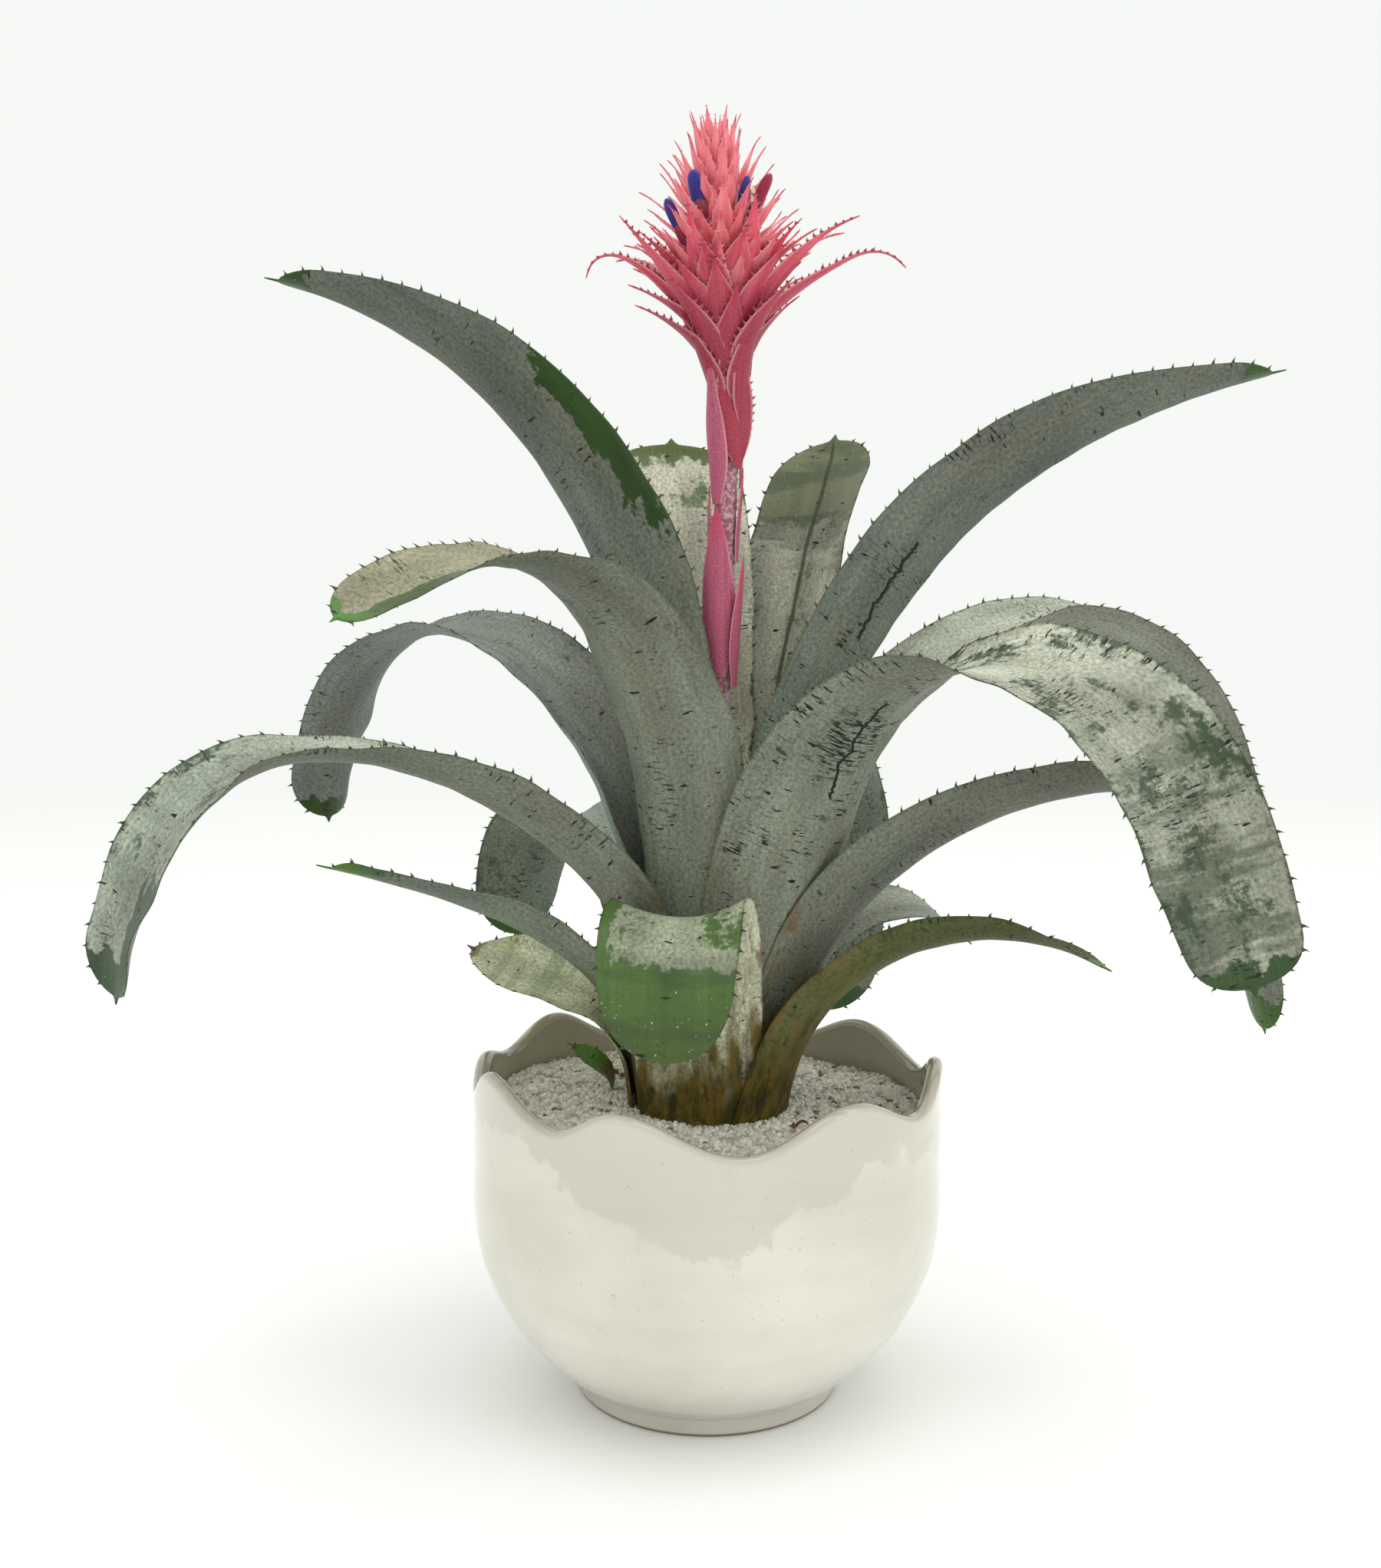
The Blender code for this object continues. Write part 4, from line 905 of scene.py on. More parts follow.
def pot_profile():
    """Radius, height and share of the rim's wave, from under the foot, up, over and down inside."""
    rings = [(20, 1.6, 0)]
    rings += [(FOOT_RADIUS + r, z, 0) for r, z in FOOT_RING]
    belly = np.concatenate([np.arange(9.2, 24, 1.6), np.arange(24, 84, 3)])
    rings += [(float(outer_radius(z)), z, 0) for z in belly]
    outside, inside = POT_RADIUS, POT_RADIUS - WALL
    top = RIM_MIDDLE - 3.2
    rings += [(outside, z, float(ease(z, WAVE_FADES_AT, top))) for z in np.arange(86, top + 0.1, 2.5)]
    rings += [(outside - WALL / 2 + WALL / 2 * math.cos(a), RIM_MIDDLE - 3.0 + 3.0 * math.sin(a), 1)
              for a in np.linspace(0.12, math.pi - 0.12, 13)]
    rings += [(inside, z, float(ease(z, WAVE_FADES_AT, top))) for z in np.arange(top, 108, -3)]
    rings += [(float(outer_radius(z)) - WALL * 1.1, z, 0) for z in (104, 90, 70, 50, 34, 22)]
    return [*rings, (50, 14.4, 0), (20, 14, 0)]


# %% Throw the pot
def lathe(rings, segments, lift=None, wobble=None):
    """Points and faces of a closed turned solid whose first and last rings are capped."""
    azimuth = np.arange(segments) * 360 / segments
    around = np.radians(azimuth)
    raised = lift(azimuth) if lift else np.zeros(segments)
    points = []
    for radius, height, share in rings:
        r = radius + (wobble(azimuth, height) if wobble else 0)
        points.append(np.stack([r * np.cos(around), r * np.sin(around), height + share * raised], 1))
    points = np.concatenate(points)
    a = np.arange(segments)
    b = (a + 1) % segments
    faces = []
    for i in range(len(rings) - 1):
        low, high = i * segments, (i + 1) * segments
        faces += np.stack([low + a, low + b, high + b, high + a], 1).tolist()
    for ring, height in ((0, rings[0][1]), (len(rings) - 1, rings[-1][1])):
        centre = len(points)
        points = np.concatenate([points, [[0, 0, height]]])
        faces += np.stack([ring * segments + a, ring * segments + b, 0 * a + centre], 1).tolist()
    return points, faces


def thrown_wobble(azimuth, height):
    """Half a millimetre of unevenness from the potter's hands."""
    turn = np.radians(azimuth)
    ring = 0.12 * math.sin(height / 4.3) + 0.08 * math.sin(height / 1.9 + 1)
    oval = 0.32 * np.cos(2 * turn + 0.4) + 0.16 * np.cos(3 * turn + height / 30)
    return (oval + ring) * ease(height, 9, 25)


def rim_lift(azimuth):
    """How far the rim stands above or below its middle height."""
    return wave_through(RIM, azimuth) - RIM_MIDDLE


points, faces = lathe(pot_profile(), POT_SEGMENTS, rim_lift, thrown_wobble)
pot_mesh = mesh_from("pot_thrown", points, faces, 60)
azimuths = np.degrees(np.arctan2(points[:, 1], points[:, 0])) % 360
inside = np.hypot(points[:, 0], points[:, 1]) < outer_radius(points[:, 2]) - WALL * 0.55
note(pot_mesh, "above_glaze_line", points[:, 2] - wave_through(THIN_GLAZE, azimuths))
note(pot_mesh, "below_rim", wave_through(RIM, azimuths) - points[:, 2])
note(pot_mesh, "inside", inside & (points[:, 2] > 10))
print("pot:", len(faces), "faces")

# %% [markdown]
# ## Cream glaze
#
# Glaze is glass over a warm body: pale, very smooth, and clear enough to mirror the lamps. Below
# the rim it ran thin, and the body shows through as greyer, beige fields with ragged lower ends.
# A painted image could hold them, but noise stays sharp at every distance, so the pot's notes
# say how far each point lies above a drawn line, and noise frays that line.

# %% Cream glaze
def cream_glaze():
    """Glazed stoneware: a glass coat about IOR 1.5 over a warm body, very smooth, with pinholes.

    The wheel's rings show as faint level bands, the glaze is greyer where it ran thin, above the
    drawn line, and missing under the foot. Towards the foot and inside the pot it is darkened as
    painted shade.
    """
    mat, tree, shader = blank("cream_stoneware_glaze", 0.12, 1.5, Coat_Weight=0.35, Coat_Roughness=0.05)
    node = partial(add, tree)

    # scales are spots per metre: 48 frays the line every 20 mm or so, 14 makes clouds of 70 mm,
    # 70 upright makes rings of 14 mm, and 700 makes pinholes 1.4 mm apart at least
    space = node("TexCoord", pick="Object")
    above, below, inside_shade = (node("Attribute", attribute_name=label, pick="Fac")
                           for label in ("above_glaze_line", "below_rim", "inside"))
    ragged = node("TexNoise", {"Vector": space, "Scale": 48.0, "Detail": 6.0, "Roughness": 0.62})
    line = node("Math", [node("MapRange", [ragged, 0.3, 0.7, -10, 10]), above], **PLUS)
    thin = node("MapRange", [line, -1.2, 3.2, 0, 0.55], **SMOOTH)
    drift = node("TexNoise", {"Vector": space, "Scale": 14.0, "Detail": 3.0})
    cream = node("Mix", [node("MapRange", [drift, 0.3, 0.7]), srgb("#CCC8B9"), srgb("#DCDACF")], **COLOR)
    level = node("Mapping", {"Vector": space, "Scale": (5, 5, 70)})
    rings = node("TexNoise", {"Vector": level, "Scale": 1.0, "Detail": 3.0})
    cream = node("VectorMath", [cream, node("MapRange", [rings, 0.3, 0.7, 0.95, 1.03])], **TIMES)
    color = node("Mix", [thin, cream, srgb("#BDB8A9")], **COLOR)
    height = node("SeparateXYZ", [space], pick="Z")
    # painted shade: darker towards the foot, where the contact shadow on the floor lies
    foot_shade = node("MapRange", [height, 0.004, 0.04, 0.78, 1.0], **SMOOTH)
    color = node("VectorMath", [color, foot_shade], **TIMES)
    fine = node("TexNoise", {"Vector": space, "Scale": 700.0, "Detail": 1.0})
    pinhole = node("MapRange", [fine, 0.735, 0.765, 0, 0.55], **SMOOTH)
    color = node("Mix", [pinhole, color, srgb("#A79C86")], **COLOR)
    worn_lip = node("MapRange", [below, 3.4, 0.6, 0, 0.5], **SMOOTH)
    color = node("Mix", [worn_lip, color, srgb("#B5AE9B")], **COLOR)
    # painted shade: the inside wall is darkened where it lies in the pot's own shadow
    color = node("Mix", [node("MapRange", [inside_shade, 0, 1, 0, 0.85]), color, srgb("#978F77")], **COLOR)
    bare = node("MapRange", [height, 0.0019, 0.0008], **SMOOTH)
    color = node("Mix", [bare, color, srgb("#7C6A52")], **COLOR)
    tree.links.new(color, shader["Base Color"])
    tree.links.new(node("MapRange", [bare, 0, 1, 0.12, 0.8]), shader["Roughness"])
    ripple = node("TexNoise", {"Vector": space, "Scale": 38.0, "Detail": 2.0})
    relief = node("Math", [pinhole, -0.35, ripple], **TIMES_PLUS)
    tree.links.new(node("Bump", {"Strength": 0.25, "Distance": 0.0008, "Height": relief}), shader["Normal"])
    return mat


pot = ready(place("pot_thrown", pot_mesh, cream_glaze()), "cream_glaze", "pot")
print("glaze:", len(pot.active_material.node_tree.nodes), "nodes")

# %% [markdown]
# ## Grit over the potting mix
#
# White quartz grit, 2 to 3 mm across, covers the mix in a thick layer that is heaped a little at
# the back. A bumpy material alone would look flat where it meets the pot's wall, so a closed bed
# carries the heap's shape and loose grains lie on it. They repeat over a surface, so Geometry
# Nodes scatter them: the points keep a least distance, and each grain is one of five broken
# pebbles, turned and sized at random from a fixed seed.

# %% Bed of grit
GRIT_LEVEL = 122.5
GRIT_HEAP = 3.0             # mm higher at the back left, lower at the front right
GRIT_RIPPLE = 0.9
GRIT_EDGE = POT_RADIUS - WALL - 0.6
SOIL_LEVEL = 111.0

# the top of the bed, from the pot's wall in: radius, height over its rim and share of the heap
BED_TOP = ((88, -0.3, 1), (80, -0.4, 1), (68, 0.2, 0.9), (58, 0.6, 0.8), (48, 0.6, 0.5), (39, 0.3, 0.3),
           (26, -0.4, 0.1))


def grit_heap(azimuth):
    """How much higher than its middle level the grit lies towards this side."""
    return GRIT_HEAP * np.cos(np.radians(azimuth - 150)) + GRIT_RIPPLE * np.sin(np.radians(5 * azimuth))


bed_rings = [(30, SOIL_LEVEL + 0.4, 0), (GRIT_EDGE, SOIL_LEVEL + 0.4, 0), (GRIT_EDGE, GRIT_LEVEL - 1, 0.9)]
bed_rings += [(radius, GRIT_LEVEL - 1 + over, share) for radius, over, share in BED_TOP]
points, faces = lathe(bed_rings, 96, grit_heap)
bed_mesh = mesh_from("grit_bed", points, faces)
on_top = (points[:, 2] > SOIL_LEVEL + 4) & (np.hypot(points[:, 0], points[:, 1]) > 24)
note(bed_mesh, "open_top", on_top, "BOOLEAN")
print("grit bed:", len(faces), "faces")


# %% Quartz grit
def quartz_grit(name):
    """Broken quartz and marble, dry and dull, IOR 1.54, each grain its own shade, with 1 mm flecks."""
    mat, tree, shader = blank(name, 0.6, 1.54)
    node = partial(add, tree)
    space = node("TexCoord", pick="Object")
    shade = node("Attribute", attribute_name="shade", pick="Fac")
    grey = node("Mix", [node("MapRange", [shade, 0.0, 0.35], **SMOOTH), srgb("#AAA596"),
                        srgb("#D6D3C4")], **COLOR)
    white = node("Mix", [node("MapRange", [shade, 0.35, 1.0]), grey, srgb("#F3F1E6")], **COLOR)
    color = node("Mix", [node("MapRange", [shade, 0.035, 0.02]), white, srgb("#7B6A4E")], **COLOR)
    fleck = node("TexNoise", {"Vector": space, "Scale": 900.0, "Detail": 2.0})
    color = node("VectorMath", [color, node("MapRange", [fleck, 0.3, 0.7, 0.86, 1.08])], **TIMES)
    tree.links.new(color, shader["Base Color"])
    tree.links.new(node("Bump", {"Strength": 0.4, "Distance": 0.0004, "Height": fleck}), shader["Normal"])
    return mat


grit_finish = quartz_grit("broken_quartz_grit")


# %% Pebbles
def pebble(name, seed):
    """A broken pebble, about 1 m across before it is sized, from a roughened icosahedron."""
    chance = np.random.default_rng(seed)
    bm = bmesh.new()
    bmesh.ops.create_icosphere(bm, subdivisions=1, radius=0.5)
    stretch = chance.uniform(0.7, 1.15, 3)
    for vert in bm.verts:
        vert.co = Vector([vert.co[k] * stretch[k] * chance.uniform(0.82, 1.15) for k in range(3)])
    mesh = bpy.data.meshes.new(name)
    bm.to_mesh(mesh)
    bm.free()
    return bpy.data.objects.new(name, mesh)


pebbles = bpy.data.collections.new("pebbles")
for k in range(5):
    pebbles.objects.link(pebble(f"pebble_{k}", 50 + k))

# %% The tree that scatters the grains
scatter_tree, given = tree_with("grains_on_top", (
    ("Grains", "Collection"), ("Spacing", "Float"), ("Density", "Float"), ("Size", "Float"),
    ("Uneven", "Float"), ("Seed", "Int"), ("Finish", "Material")))
top = add(scatter_tree, "GeometryNodeInputNamedAttribute", ["open_top"], data_type="BOOLEAN")
spots = add(scatter_tree, "GeometryNodeDistributePointsOnFaces",
            {"Mesh": given["Geometry"], "Selection": top, "Distance Min": given["Spacing"],
             "Density Max": given["Density"], "Seed": given["Seed"]}, distribute_method="POISSON")
shapes = add(scatter_tree, "GeometryNodeCollectionInfo",
             {"Collection": given["Grains"], "Separate Children": True, "Reset Children": True})
spin = add(scatter_tree, "FunctionNodeRandomValue",
           {"Min": (0, 0, 0), "Max": (6.3, 6.3, 6.3), "Seed": given["Seed"]}, data_type="FLOAT_VECTOR")
grains = add(scatter_tree, "GeometryNodeInstanceOnPoints",
             {"Points": spots, "Instance": shapes, "Pick Instance": True, "Rotation": spin,
              "Scale": uneven(scatter_tree, given, given["Size"])})
shade = add(scatter_tree, "FunctionNodeRandomValue", {"Min": 0.0, "Max": 1.0, "Seed": 7}, data_type="FLOAT")
grains = add(scatter_tree, "GeometryNodeStoreNamedAttribute",
             {"Geometry": grains, "Name": "shade", "Value": shade}, data_type="FLOAT", domain="INSTANCE")
finish_tree(scatter_tree, grains, given["Finish"])
print("scatter tree:", len(scatter_tree.nodes), "nodes")

# %% Scatter the grains
GRAIN_GAP = 1.55            # mm, the least distance between the middles of two grains
GRAIN_SIZE = 2.7            # mm
GRAIN_DENSITY = 900000.0    # grains tried on a square metre, more than the gap leaves room for
loose = place("grit_grains", bed_mesh.copy())
grow(loose, scatter_tree, Grains=pebbles, Spacing=GRAIN_GAP * MM, Density=GRAIN_DENSITY,
     Size=GRAIN_SIZE * MM, Uneven=0.35, Seed=3, Finish=grit_finish)
ready(loose, "white_grit")

# the bed itself has one middling shade, since only gaps between grains show it
note(bed_mesh, "shade", np.full(len(points), 0.3))
ready(place("grit_bed", bed_mesh, grit_finish), "white_grit", "grit_layer")
print("grains:", len(loose.data.polygons), "faces")


# %% [markdown]
# ## Mix and crown
#
# Below the grit lie the potting mix and the short crown that the leaves grow from. They are
# almost hidden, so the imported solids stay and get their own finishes: crumbly peat and bark for
# the mix, and fibrous brown stem tissue for the crown.

# %% Peat and stem fibre
def peat_mix():
    """Peat with bark crumbs of about 4 mm: dull, dark and damp, IOR 1.4."""
    mat, tree, shader = blank("peat_and_bark_mix", 0.95, 1.4)
    space = add(tree, "TexCoord", pick="Object")
    crumb = add(tree, "TexVoronoi", {"Vector": space, "Scale": 260.0})
    tone = add(tree, "MapRange", [crumb, 0.1, 0.6], **SMOOTH)
    color = add(tree, "Mix", [tone, srgb("#2A2019"), srgb("#57412C")], **COLOR)
    relief = add(tree, "Bump", {"Strength": 0.8, "Distance": 0.002, "Height": crumb})
    tree.links.new(color, shader["Base Color"])
    tree.links.new(relief, shader["Normal"])
    return mat


def stem_fibre():
    """Woody stem tissue with upright fibres 2 to 3 mm apart, dull and brown, IOR 1.45."""
    mat, tree, shader = blank("stem_fibre", 0.85, 1.45)
    space = add(tree, "TexCoord", pick="Object")
    upright = add(tree, "Mapping", {"Vector": space, "Scale": (420, 420, 30)})
    fibre = add(tree, "TexNoise", {"Vector": upright, "Scale": 1.0, "Detail": 3.0})
    color = add(tree, "Mix", [fibre, srgb("#4A3A22"), srgb("#8C7748")], **COLOR)
    relief = add(tree, "Bump", {"Strength": 0.6, "Distance": 0.001, "Height": fibre})
    tree.links.new(color, shader["Base Color"])
    tree.links.new(relief, shader["Normal"])
    return mat


for name, finish in (("potting_mix", peat_mix()), ("crown", stem_fibre())):
    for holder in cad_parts[name].material_slots:
        holder.material = finish
print("mix and crown finished")

# %% [markdown]
# ## What lies on the grit
#
# One small leaf stands alone in the grit at the left. It is still green at its foot and has
# dried to a dark twisted end. A few crumbs of dry bark have come up from the mix. Both are small
# enough to be made by the leaf's own function, with short lists of their own.

# %% Stub leaf
STUB_PLACE = (-42, 12, 125.3)
STUB = dict(length=26, heading=(88, 52, 34, 30), width=(8, 11, 9, 4), channel=(9, 12, 12, 12),
            twist=(0, -25, -45, -45), tip=5, ripple=0.5, spines_from=0.3)
stub_mesh = strap("stub_blade", STUB, 0, 0, 41, 180, station=1.2, columns=10)
stub_mesh.transform(Matrix.Translation(Vector(STUB_PLACE) * MM))
drying = scaly_leaf("scaly_leaf_stub", cover=0.3, upper_cover=0.3, bare_from=0.9, tissue="#55793A",
                    tip="#5A4630")
stub = place("stub_blade", stub_mesh, drying)
grow(stub, spine_tree, Hook=hook, Step=4 * MM, Size=1.3 * MM, Uneven=0.3, Seed=41, Finish=horn)
ready(stub, "deep_leaf", "stub_leaf")
print("stub leaf:", len(stub.data.polygons), "faces")

# %% Dry crumbs
# x and y in mm, length in mm and azimuth
CRUMBS = ((-42, 35, 6, 20), (-38, 31, 4, 140), (52, 39, 6, 80), (38, -38, 7, 200), (35, -41, 4, 300),
          (-4, -39, 5, 160))
dry = spine_horn("dry_bark_crumb", "#4A3018", "#8A5A30")
for k, (x, y, size, azimuth) in enumerate(CRUMBS):
    flake = dict(length=size, heading=(50, 10, -30, -50), width=(1.2, 2.8, 2.2, 1), tip=1.5, mucro=0.6,
                 channel=(2, 1.6, 1.6, 2), twist=(0, 30, 60, 90), ripple=0.5)
    flake_mesh = strap(f"crumb_{k}", flake, -size / 2, 0, 60 + k, azimuth, 0.4, 0.8, 4)
    rest = GRIT_LEVEL + 1.5 + 0.3 * grit_heap(math.degrees(math.atan2(y, x)))
    flake_mesh.transform(Matrix.Translation(Vector((x, y, rest)) * MM))
    ready(place(f"crumb_{k}", flake_mesh, dry), "potting_mix")
print("crumbs:", len(CRUMBS))

# %% [markdown]
# ## Rose bract tissue
#
# The bracts of the stalk and of the head are thin pink leaves: downy at the margins, veined
# lengthwise, deeper in tone low down and at their tips. One material could serve them all, but
# those of the stalk are duller and mealier than those of the head, so one function makes each
# finish from a few tones. A little light passes through them, as through a petal.

# %% Pink bract finish
def pink_bract(name, flesh, deep, low, mealy=0.05, tip="#C0375A"):
    """A thin leathery bract: pink tissue, IOR 1.42, veined lengthwise, with pale downy margins.

    flesh turns to deep in patches and to low towards the stalk, and mealy is how much white meal
    lies on it.
    """
    mat, tree, shader = blank(name, 0.42, 1.42, Subsurface_Weight=0.1, Subsurface_Scale=0.002,
                              Specular_IOR_Level=0.35)
    node = partial(add, tree)
    flat = node("UVMap", uv_map="strap")
    spots = partial(cloud, tree, flat)
    along, across = (node("Attribute", attribute_name=label, pick="Fac") for label in ("along", "across"))
    edge = node("Math", [across], **UNSIGNED)
    height = node("SeparateXYZ", [node("TexCoord", pick="Object")], pick="Z")
    tone = node("Mix", [node("MapRange", [spots(22, 6, 3), 0.35, 0.65]), srgb(flesh), srgb(deep)], **COLOR)
    lowness = node("MapRange", [height, 0.49, 0.438, 0, 0.9], **SMOOTH)
    tone = node("Mix", [lowness, tone, srgb(low)], **COLOR)
    vein = node("MapRange", [spots(90, 1.3, 2), 0.35, 0.65, 0.88, 1.08])
    tone = node("VectorMath", [tone, vein], **TIMES)
    dust = node("MapRange", [spots(0.9, 0.8, 2), 0.5, 0.62, 0, mealy], **SMOOTH)
    tone = node("Mix", [dust, tone, srgb("#F3D9D8")], **COLOR)
    down = node("MapRange", [edge, 0.8, 1.0, 0, 0.4], **SMOOTH)
    tone = node("Mix", [down, tone, srgb("#F2C4C2")], **COLOR)
    tone = node("Mix", [node("MapRange", [along, 0.72, 1.0, 0, 0.75], **SMOOTH), tone, srgb(tip)], **COLOR)
    relief = node("Bump", {"Strength": 0.5, "Distance": 0.0005, "Height": spots(90, 1.3, 1)})
    tree.links.new(tone, shader["Base Color"])
    tree.links.new(relief, shader["Normal"])
    return mat


stalk_pink = pink_bract("mealy_rose_bract", "#C9657F", "#B25270", "#B25472", 0.1)
teeth = spine_horn("rose_horn_tooth", "#7A2438", "#B8485E")
print("bract tissue:", len(stalk_pink.node_tree.nodes), "nodes")

# %% [markdown]
# ## The flower stalk
#
# The stalk is round and rose pink under a white mealy wool. The tube is swept up its slight
# lean with a little unevenness, and Geometry Nodes set short pale hairs all over it, because a
# painted fuzz would keep a hard outline against the backdrop. Narrow pink bracts clasp it, each
# with fine teeth along its margins: they are small leaves to the leaf's own function.

# %% Stalk
STALK_RADIUS = 4.6
STALK_LEAN = 9.0            # mm to the right at its top
STALK_TOP = 417.0           # mm above the floor
STALK_SIDES = 28


def stalk_offset(z):
    """How far right of the pot's axis the leaning stalk is at height z."""
    return STALK_LEAN * (np.clip(z - 105, 0, None) / (STALK_TOP - 105)) ** 1.2


def tube(rings):
    """Points and faces of a tube through rings of points, with both ends closed."""
    count, sides = len(rings), rings.shape[1]
    k = np.arange(sides)
    m = (k + 1) % sides
    faces = []
    for low in np.arange(count - 1) * sides:
        high = low + sides
        faces += np.stack([low + k, low + m, high + m, high + k], 1).tolist()
    return rings.reshape(-1, 3), [*faces, k.tolist(), ((count - 1) * sides + k).tolist()]


levels = np.arange(LEAF_FOOT, STALK_TOP + 3, 2.0)
around = np.arange(STALK_SIDES) * 2 * math.pi / STALK_SIDES
lumps = 1 + 0.06 * np.random.default_rng(77).standard_normal((len(levels), STALK_SIDES))
ring_radius = STALK_RADIUS * (0.96 + 0.2 * ease(levels, 402, 417))[:, None] * lumps
stalk_rings = np.stack([stalk_offset(levels)[:, None] + ring_radius * np.cos(around),
                        ring_radius * np.sin(around), levels[:, None] + 0 * ring_radius], -1)
stalk_mesh = mesh_from("stalk_woolly", *tube(stalk_rings), 80)
print("bare stalk:", len(stalk_mesh.polygons), "faces")


# %% Woolly skin
def wool(name, wool_tone, under):
    """White wool in 2 mm tufts over rose tissue: dull, so it has sheen and no gloss, IOR 1.4."""
    mat, tree, shader = blank(name, 0.9, 1.4, Sheen_Weight=0.4, Sheen_Roughness=0.6)
    space = add(tree, "TexCoord", pick="Object")
    tufts = add(tree, "TexNoise", {"Vector": space, "Scale": 520.0, "Detail": 4.0})
    cover = add(tree, "MapRange", [tufts, 0.42, 0.6, 0.1, 0.95], **SMOOTH)
    color = add(tree, "Mix", [cover, srgb(under), srgb(wool_tone)], **COLOR)
    relief = add(tree, "Bump", {"Strength": 0.8, "Distance": 0.001, "Height": tufts})
    tree.links.new(color, shader["Base Color"])
    tree.links.new(relief, shader["Normal"])
    return mat


wool_finish = wool("matted_white_wool", "#C9A5AD", "#9C4862")
stalk = place("stalk_woolly", stalk_mesh, wool_finish)

# %% The tree that sets the hairs
hair_tree, given = tree_with("hairs_on_surface", (
    ("Hair", "Object"), ("Density", "Float"), ("Size", "Float"), ("Uneven", "Float"), ("Tilt", "Float"),
    ("Seed", "Int"), ("Finish", "Material")))
spots = hair_tree.nodes.new("GeometryNodeDistributePointsOnFaces")
for label, source in (("Mesh", "Geometry"), ("Density", "Density"), ("Seed", "Seed")):
    hair_tree.links.new(given[source], next(s for s in spots.inputs if s.name == label and s.enabled))
low = add(hair_tree, "Math", [0.0, given["Tilt"]], **LESS)
least = add(hair_tree, "CombineXYZ", [low, low, -3.2])
most = add(hair_tree, "CombineXYZ", [given["Tilt"], given["Tilt"], 3.2])
swing = add(hair_tree, "FunctionNodeRandomValue", {"Min": least, "Max": most, "Seed": given["Seed"]},
            data_type="FLOAT_VECTOR")
leaning = add(hair_tree, "FunctionNodeRotateRotation",
              {"Rotation": spots.outputs["Rotation"], "Rotate By": swing}, rotation_space="LOCAL")
shape = add(hair_tree, "GeometryNodeObjectInfo", {"Object": given["Hair"]}, pick="Geometry")
hairs = add(hair_tree, "GeometryNodeInstanceOnPoints",
            {"Points": spots.outputs["Points"], "Rotation": leaning, "Instance": shape,
             "Scale": uneven(hair_tree, given, given["Size"])})
finish_tree(hair_tree, hairs, given["Finish"], kept=given["Geometry"])
print("hair tree:", len(hair_tree.nodes), "nodes")

# %% Grow the hairs
HAIR_DENSITY = 420000.0     # hairs on a square metre
HAIR_LENGTH = 1.1           # mm
HAIR_TILT = 1.1             # radians that a hair leans at most
hair_points = [(0.09 * math.cos(a), 0.09 * math.sin(a), 0) for a in (0, 2.1, 4.2)] + [(0.12, 0, 1)]
hair_mesh = mesh_from("hair", hair_points, [(0, 2, 1), (0, 1, 3), (1, 2, 3), (2, 0, 3)])
hair = bpy.data.objects.new("hair", hair_mesh)
grow(stalk, hair_tree, Hair=hair, Density=HAIR_DENSITY, Size=HAIR_LENGTH, Uneven=0.5, Tilt=HAIR_TILT,
     Seed=5, Finish=wool_finish)
ready(stalk, "stalk_fuzz", "flower_stalk")
print("stalk:", len(stalk.data.polygons), "faces")

# %% Bracts on the stalk
STALK_BRACTS = (
    dict(azimuth=258, foot=305, length=70, heading=(89, 89, 87, 87), width=(6, 16, 16, 10, 2),
         channel=(6, 9, 10, 8)),
    dict(azimuth=328, foot=301, length=52, heading=(88, 86, 84, 86), width=(4, 8, 8, 5, 1.5),
         channel=(7.5, 8, 8, 8), out=1.6),
    dict(azimuth=190, foot=350, length=32, heading=(84, 88, 92, 92), width=(4, 7, 6, 2)),
    dict(azimuth=345, foot=353, length=36, heading=(88, 86, 86, 86), width=(4, 6, 5, 2)),
    dict(azimuth=225, foot=377, length=62, heading=(86, 86, 86, 86), width=(5, 12, 11, 6, 1.5)),
    dict(azimuth=5, foot=384, length=26, heading=(84, 86, 88, 88), width=(3, 5, 4, 2)),
)
for k, bract in enumerate(STALK_BRACTS, 1):
    shared = dict(twist=(0, 0), tip=6, blunt=1.4, ripple=0.8, buckle=0.3, spines_from=0.2)
    leaf = {"channel": (6, 7, 8, 8)} | bract | shared
    reach = STALK_RADIUS + 1.1 + bract.get("out", 0)
    mesh = strap(f"clasping_bract_{k}", leaf, reach, 0, 60 + k, bract["azimuth"], 0.7, 1.6, 12)
    mesh.transform(Matrix.Translation((stalk_offset(bract["foot"]) * MM, 0, bract["foot"] * MM)))
    piece = place(f"clasping_bract_{k}", mesh, stalk_pink)
    grow(piece, spine_tree, Hook=tooth, Step=3.2 * MM, Size=1.1 * MM, Uneven=0.4, Seed=60 + k, Finish=teeth)
    ready(piece, "rose_bract", f"stalk_bract_{k}")
print("stalk bracts:", len(STALK_BRACTS))

# %% [markdown]
# ## The flower head
#
# The head is a pyramid of stiff, pointed pink bracts over a ruff of longer ones with toothed
# margins and thread-thin curled tips. It is built upright in its own frame and leant a little to
# the left at the end. The long bracts use the leaf's own function. Small ones strewn at random
# would leave gaps and clumps, but real ones follow the golden angle, the turn from each to the
# next. So Geometry Nodes place three shapes of bract on a spiral of points, which say how far
# each one leans out.

# %% Frame and core of the head
HEAD_TILT = 3.4             # degrees to the left
HEAD_GAP = 0.8              # mm above the stalk
CORE_HEIGHTS = (0, 12, 28, 42, 55, 70, 88, 104, 110)
CORE_RADII = (5.4, 6.6, 10, 16, 19, 16.5, 11, 5, 2.4)
HEAD = (Matrix.Translation(Vector((STALK_LEAN, 0, STALK_TOP + HEAD_GAP)) * MM)
        @ Matrix.Rotation(-math.radians(HEAD_TILT), 4, "Y"))


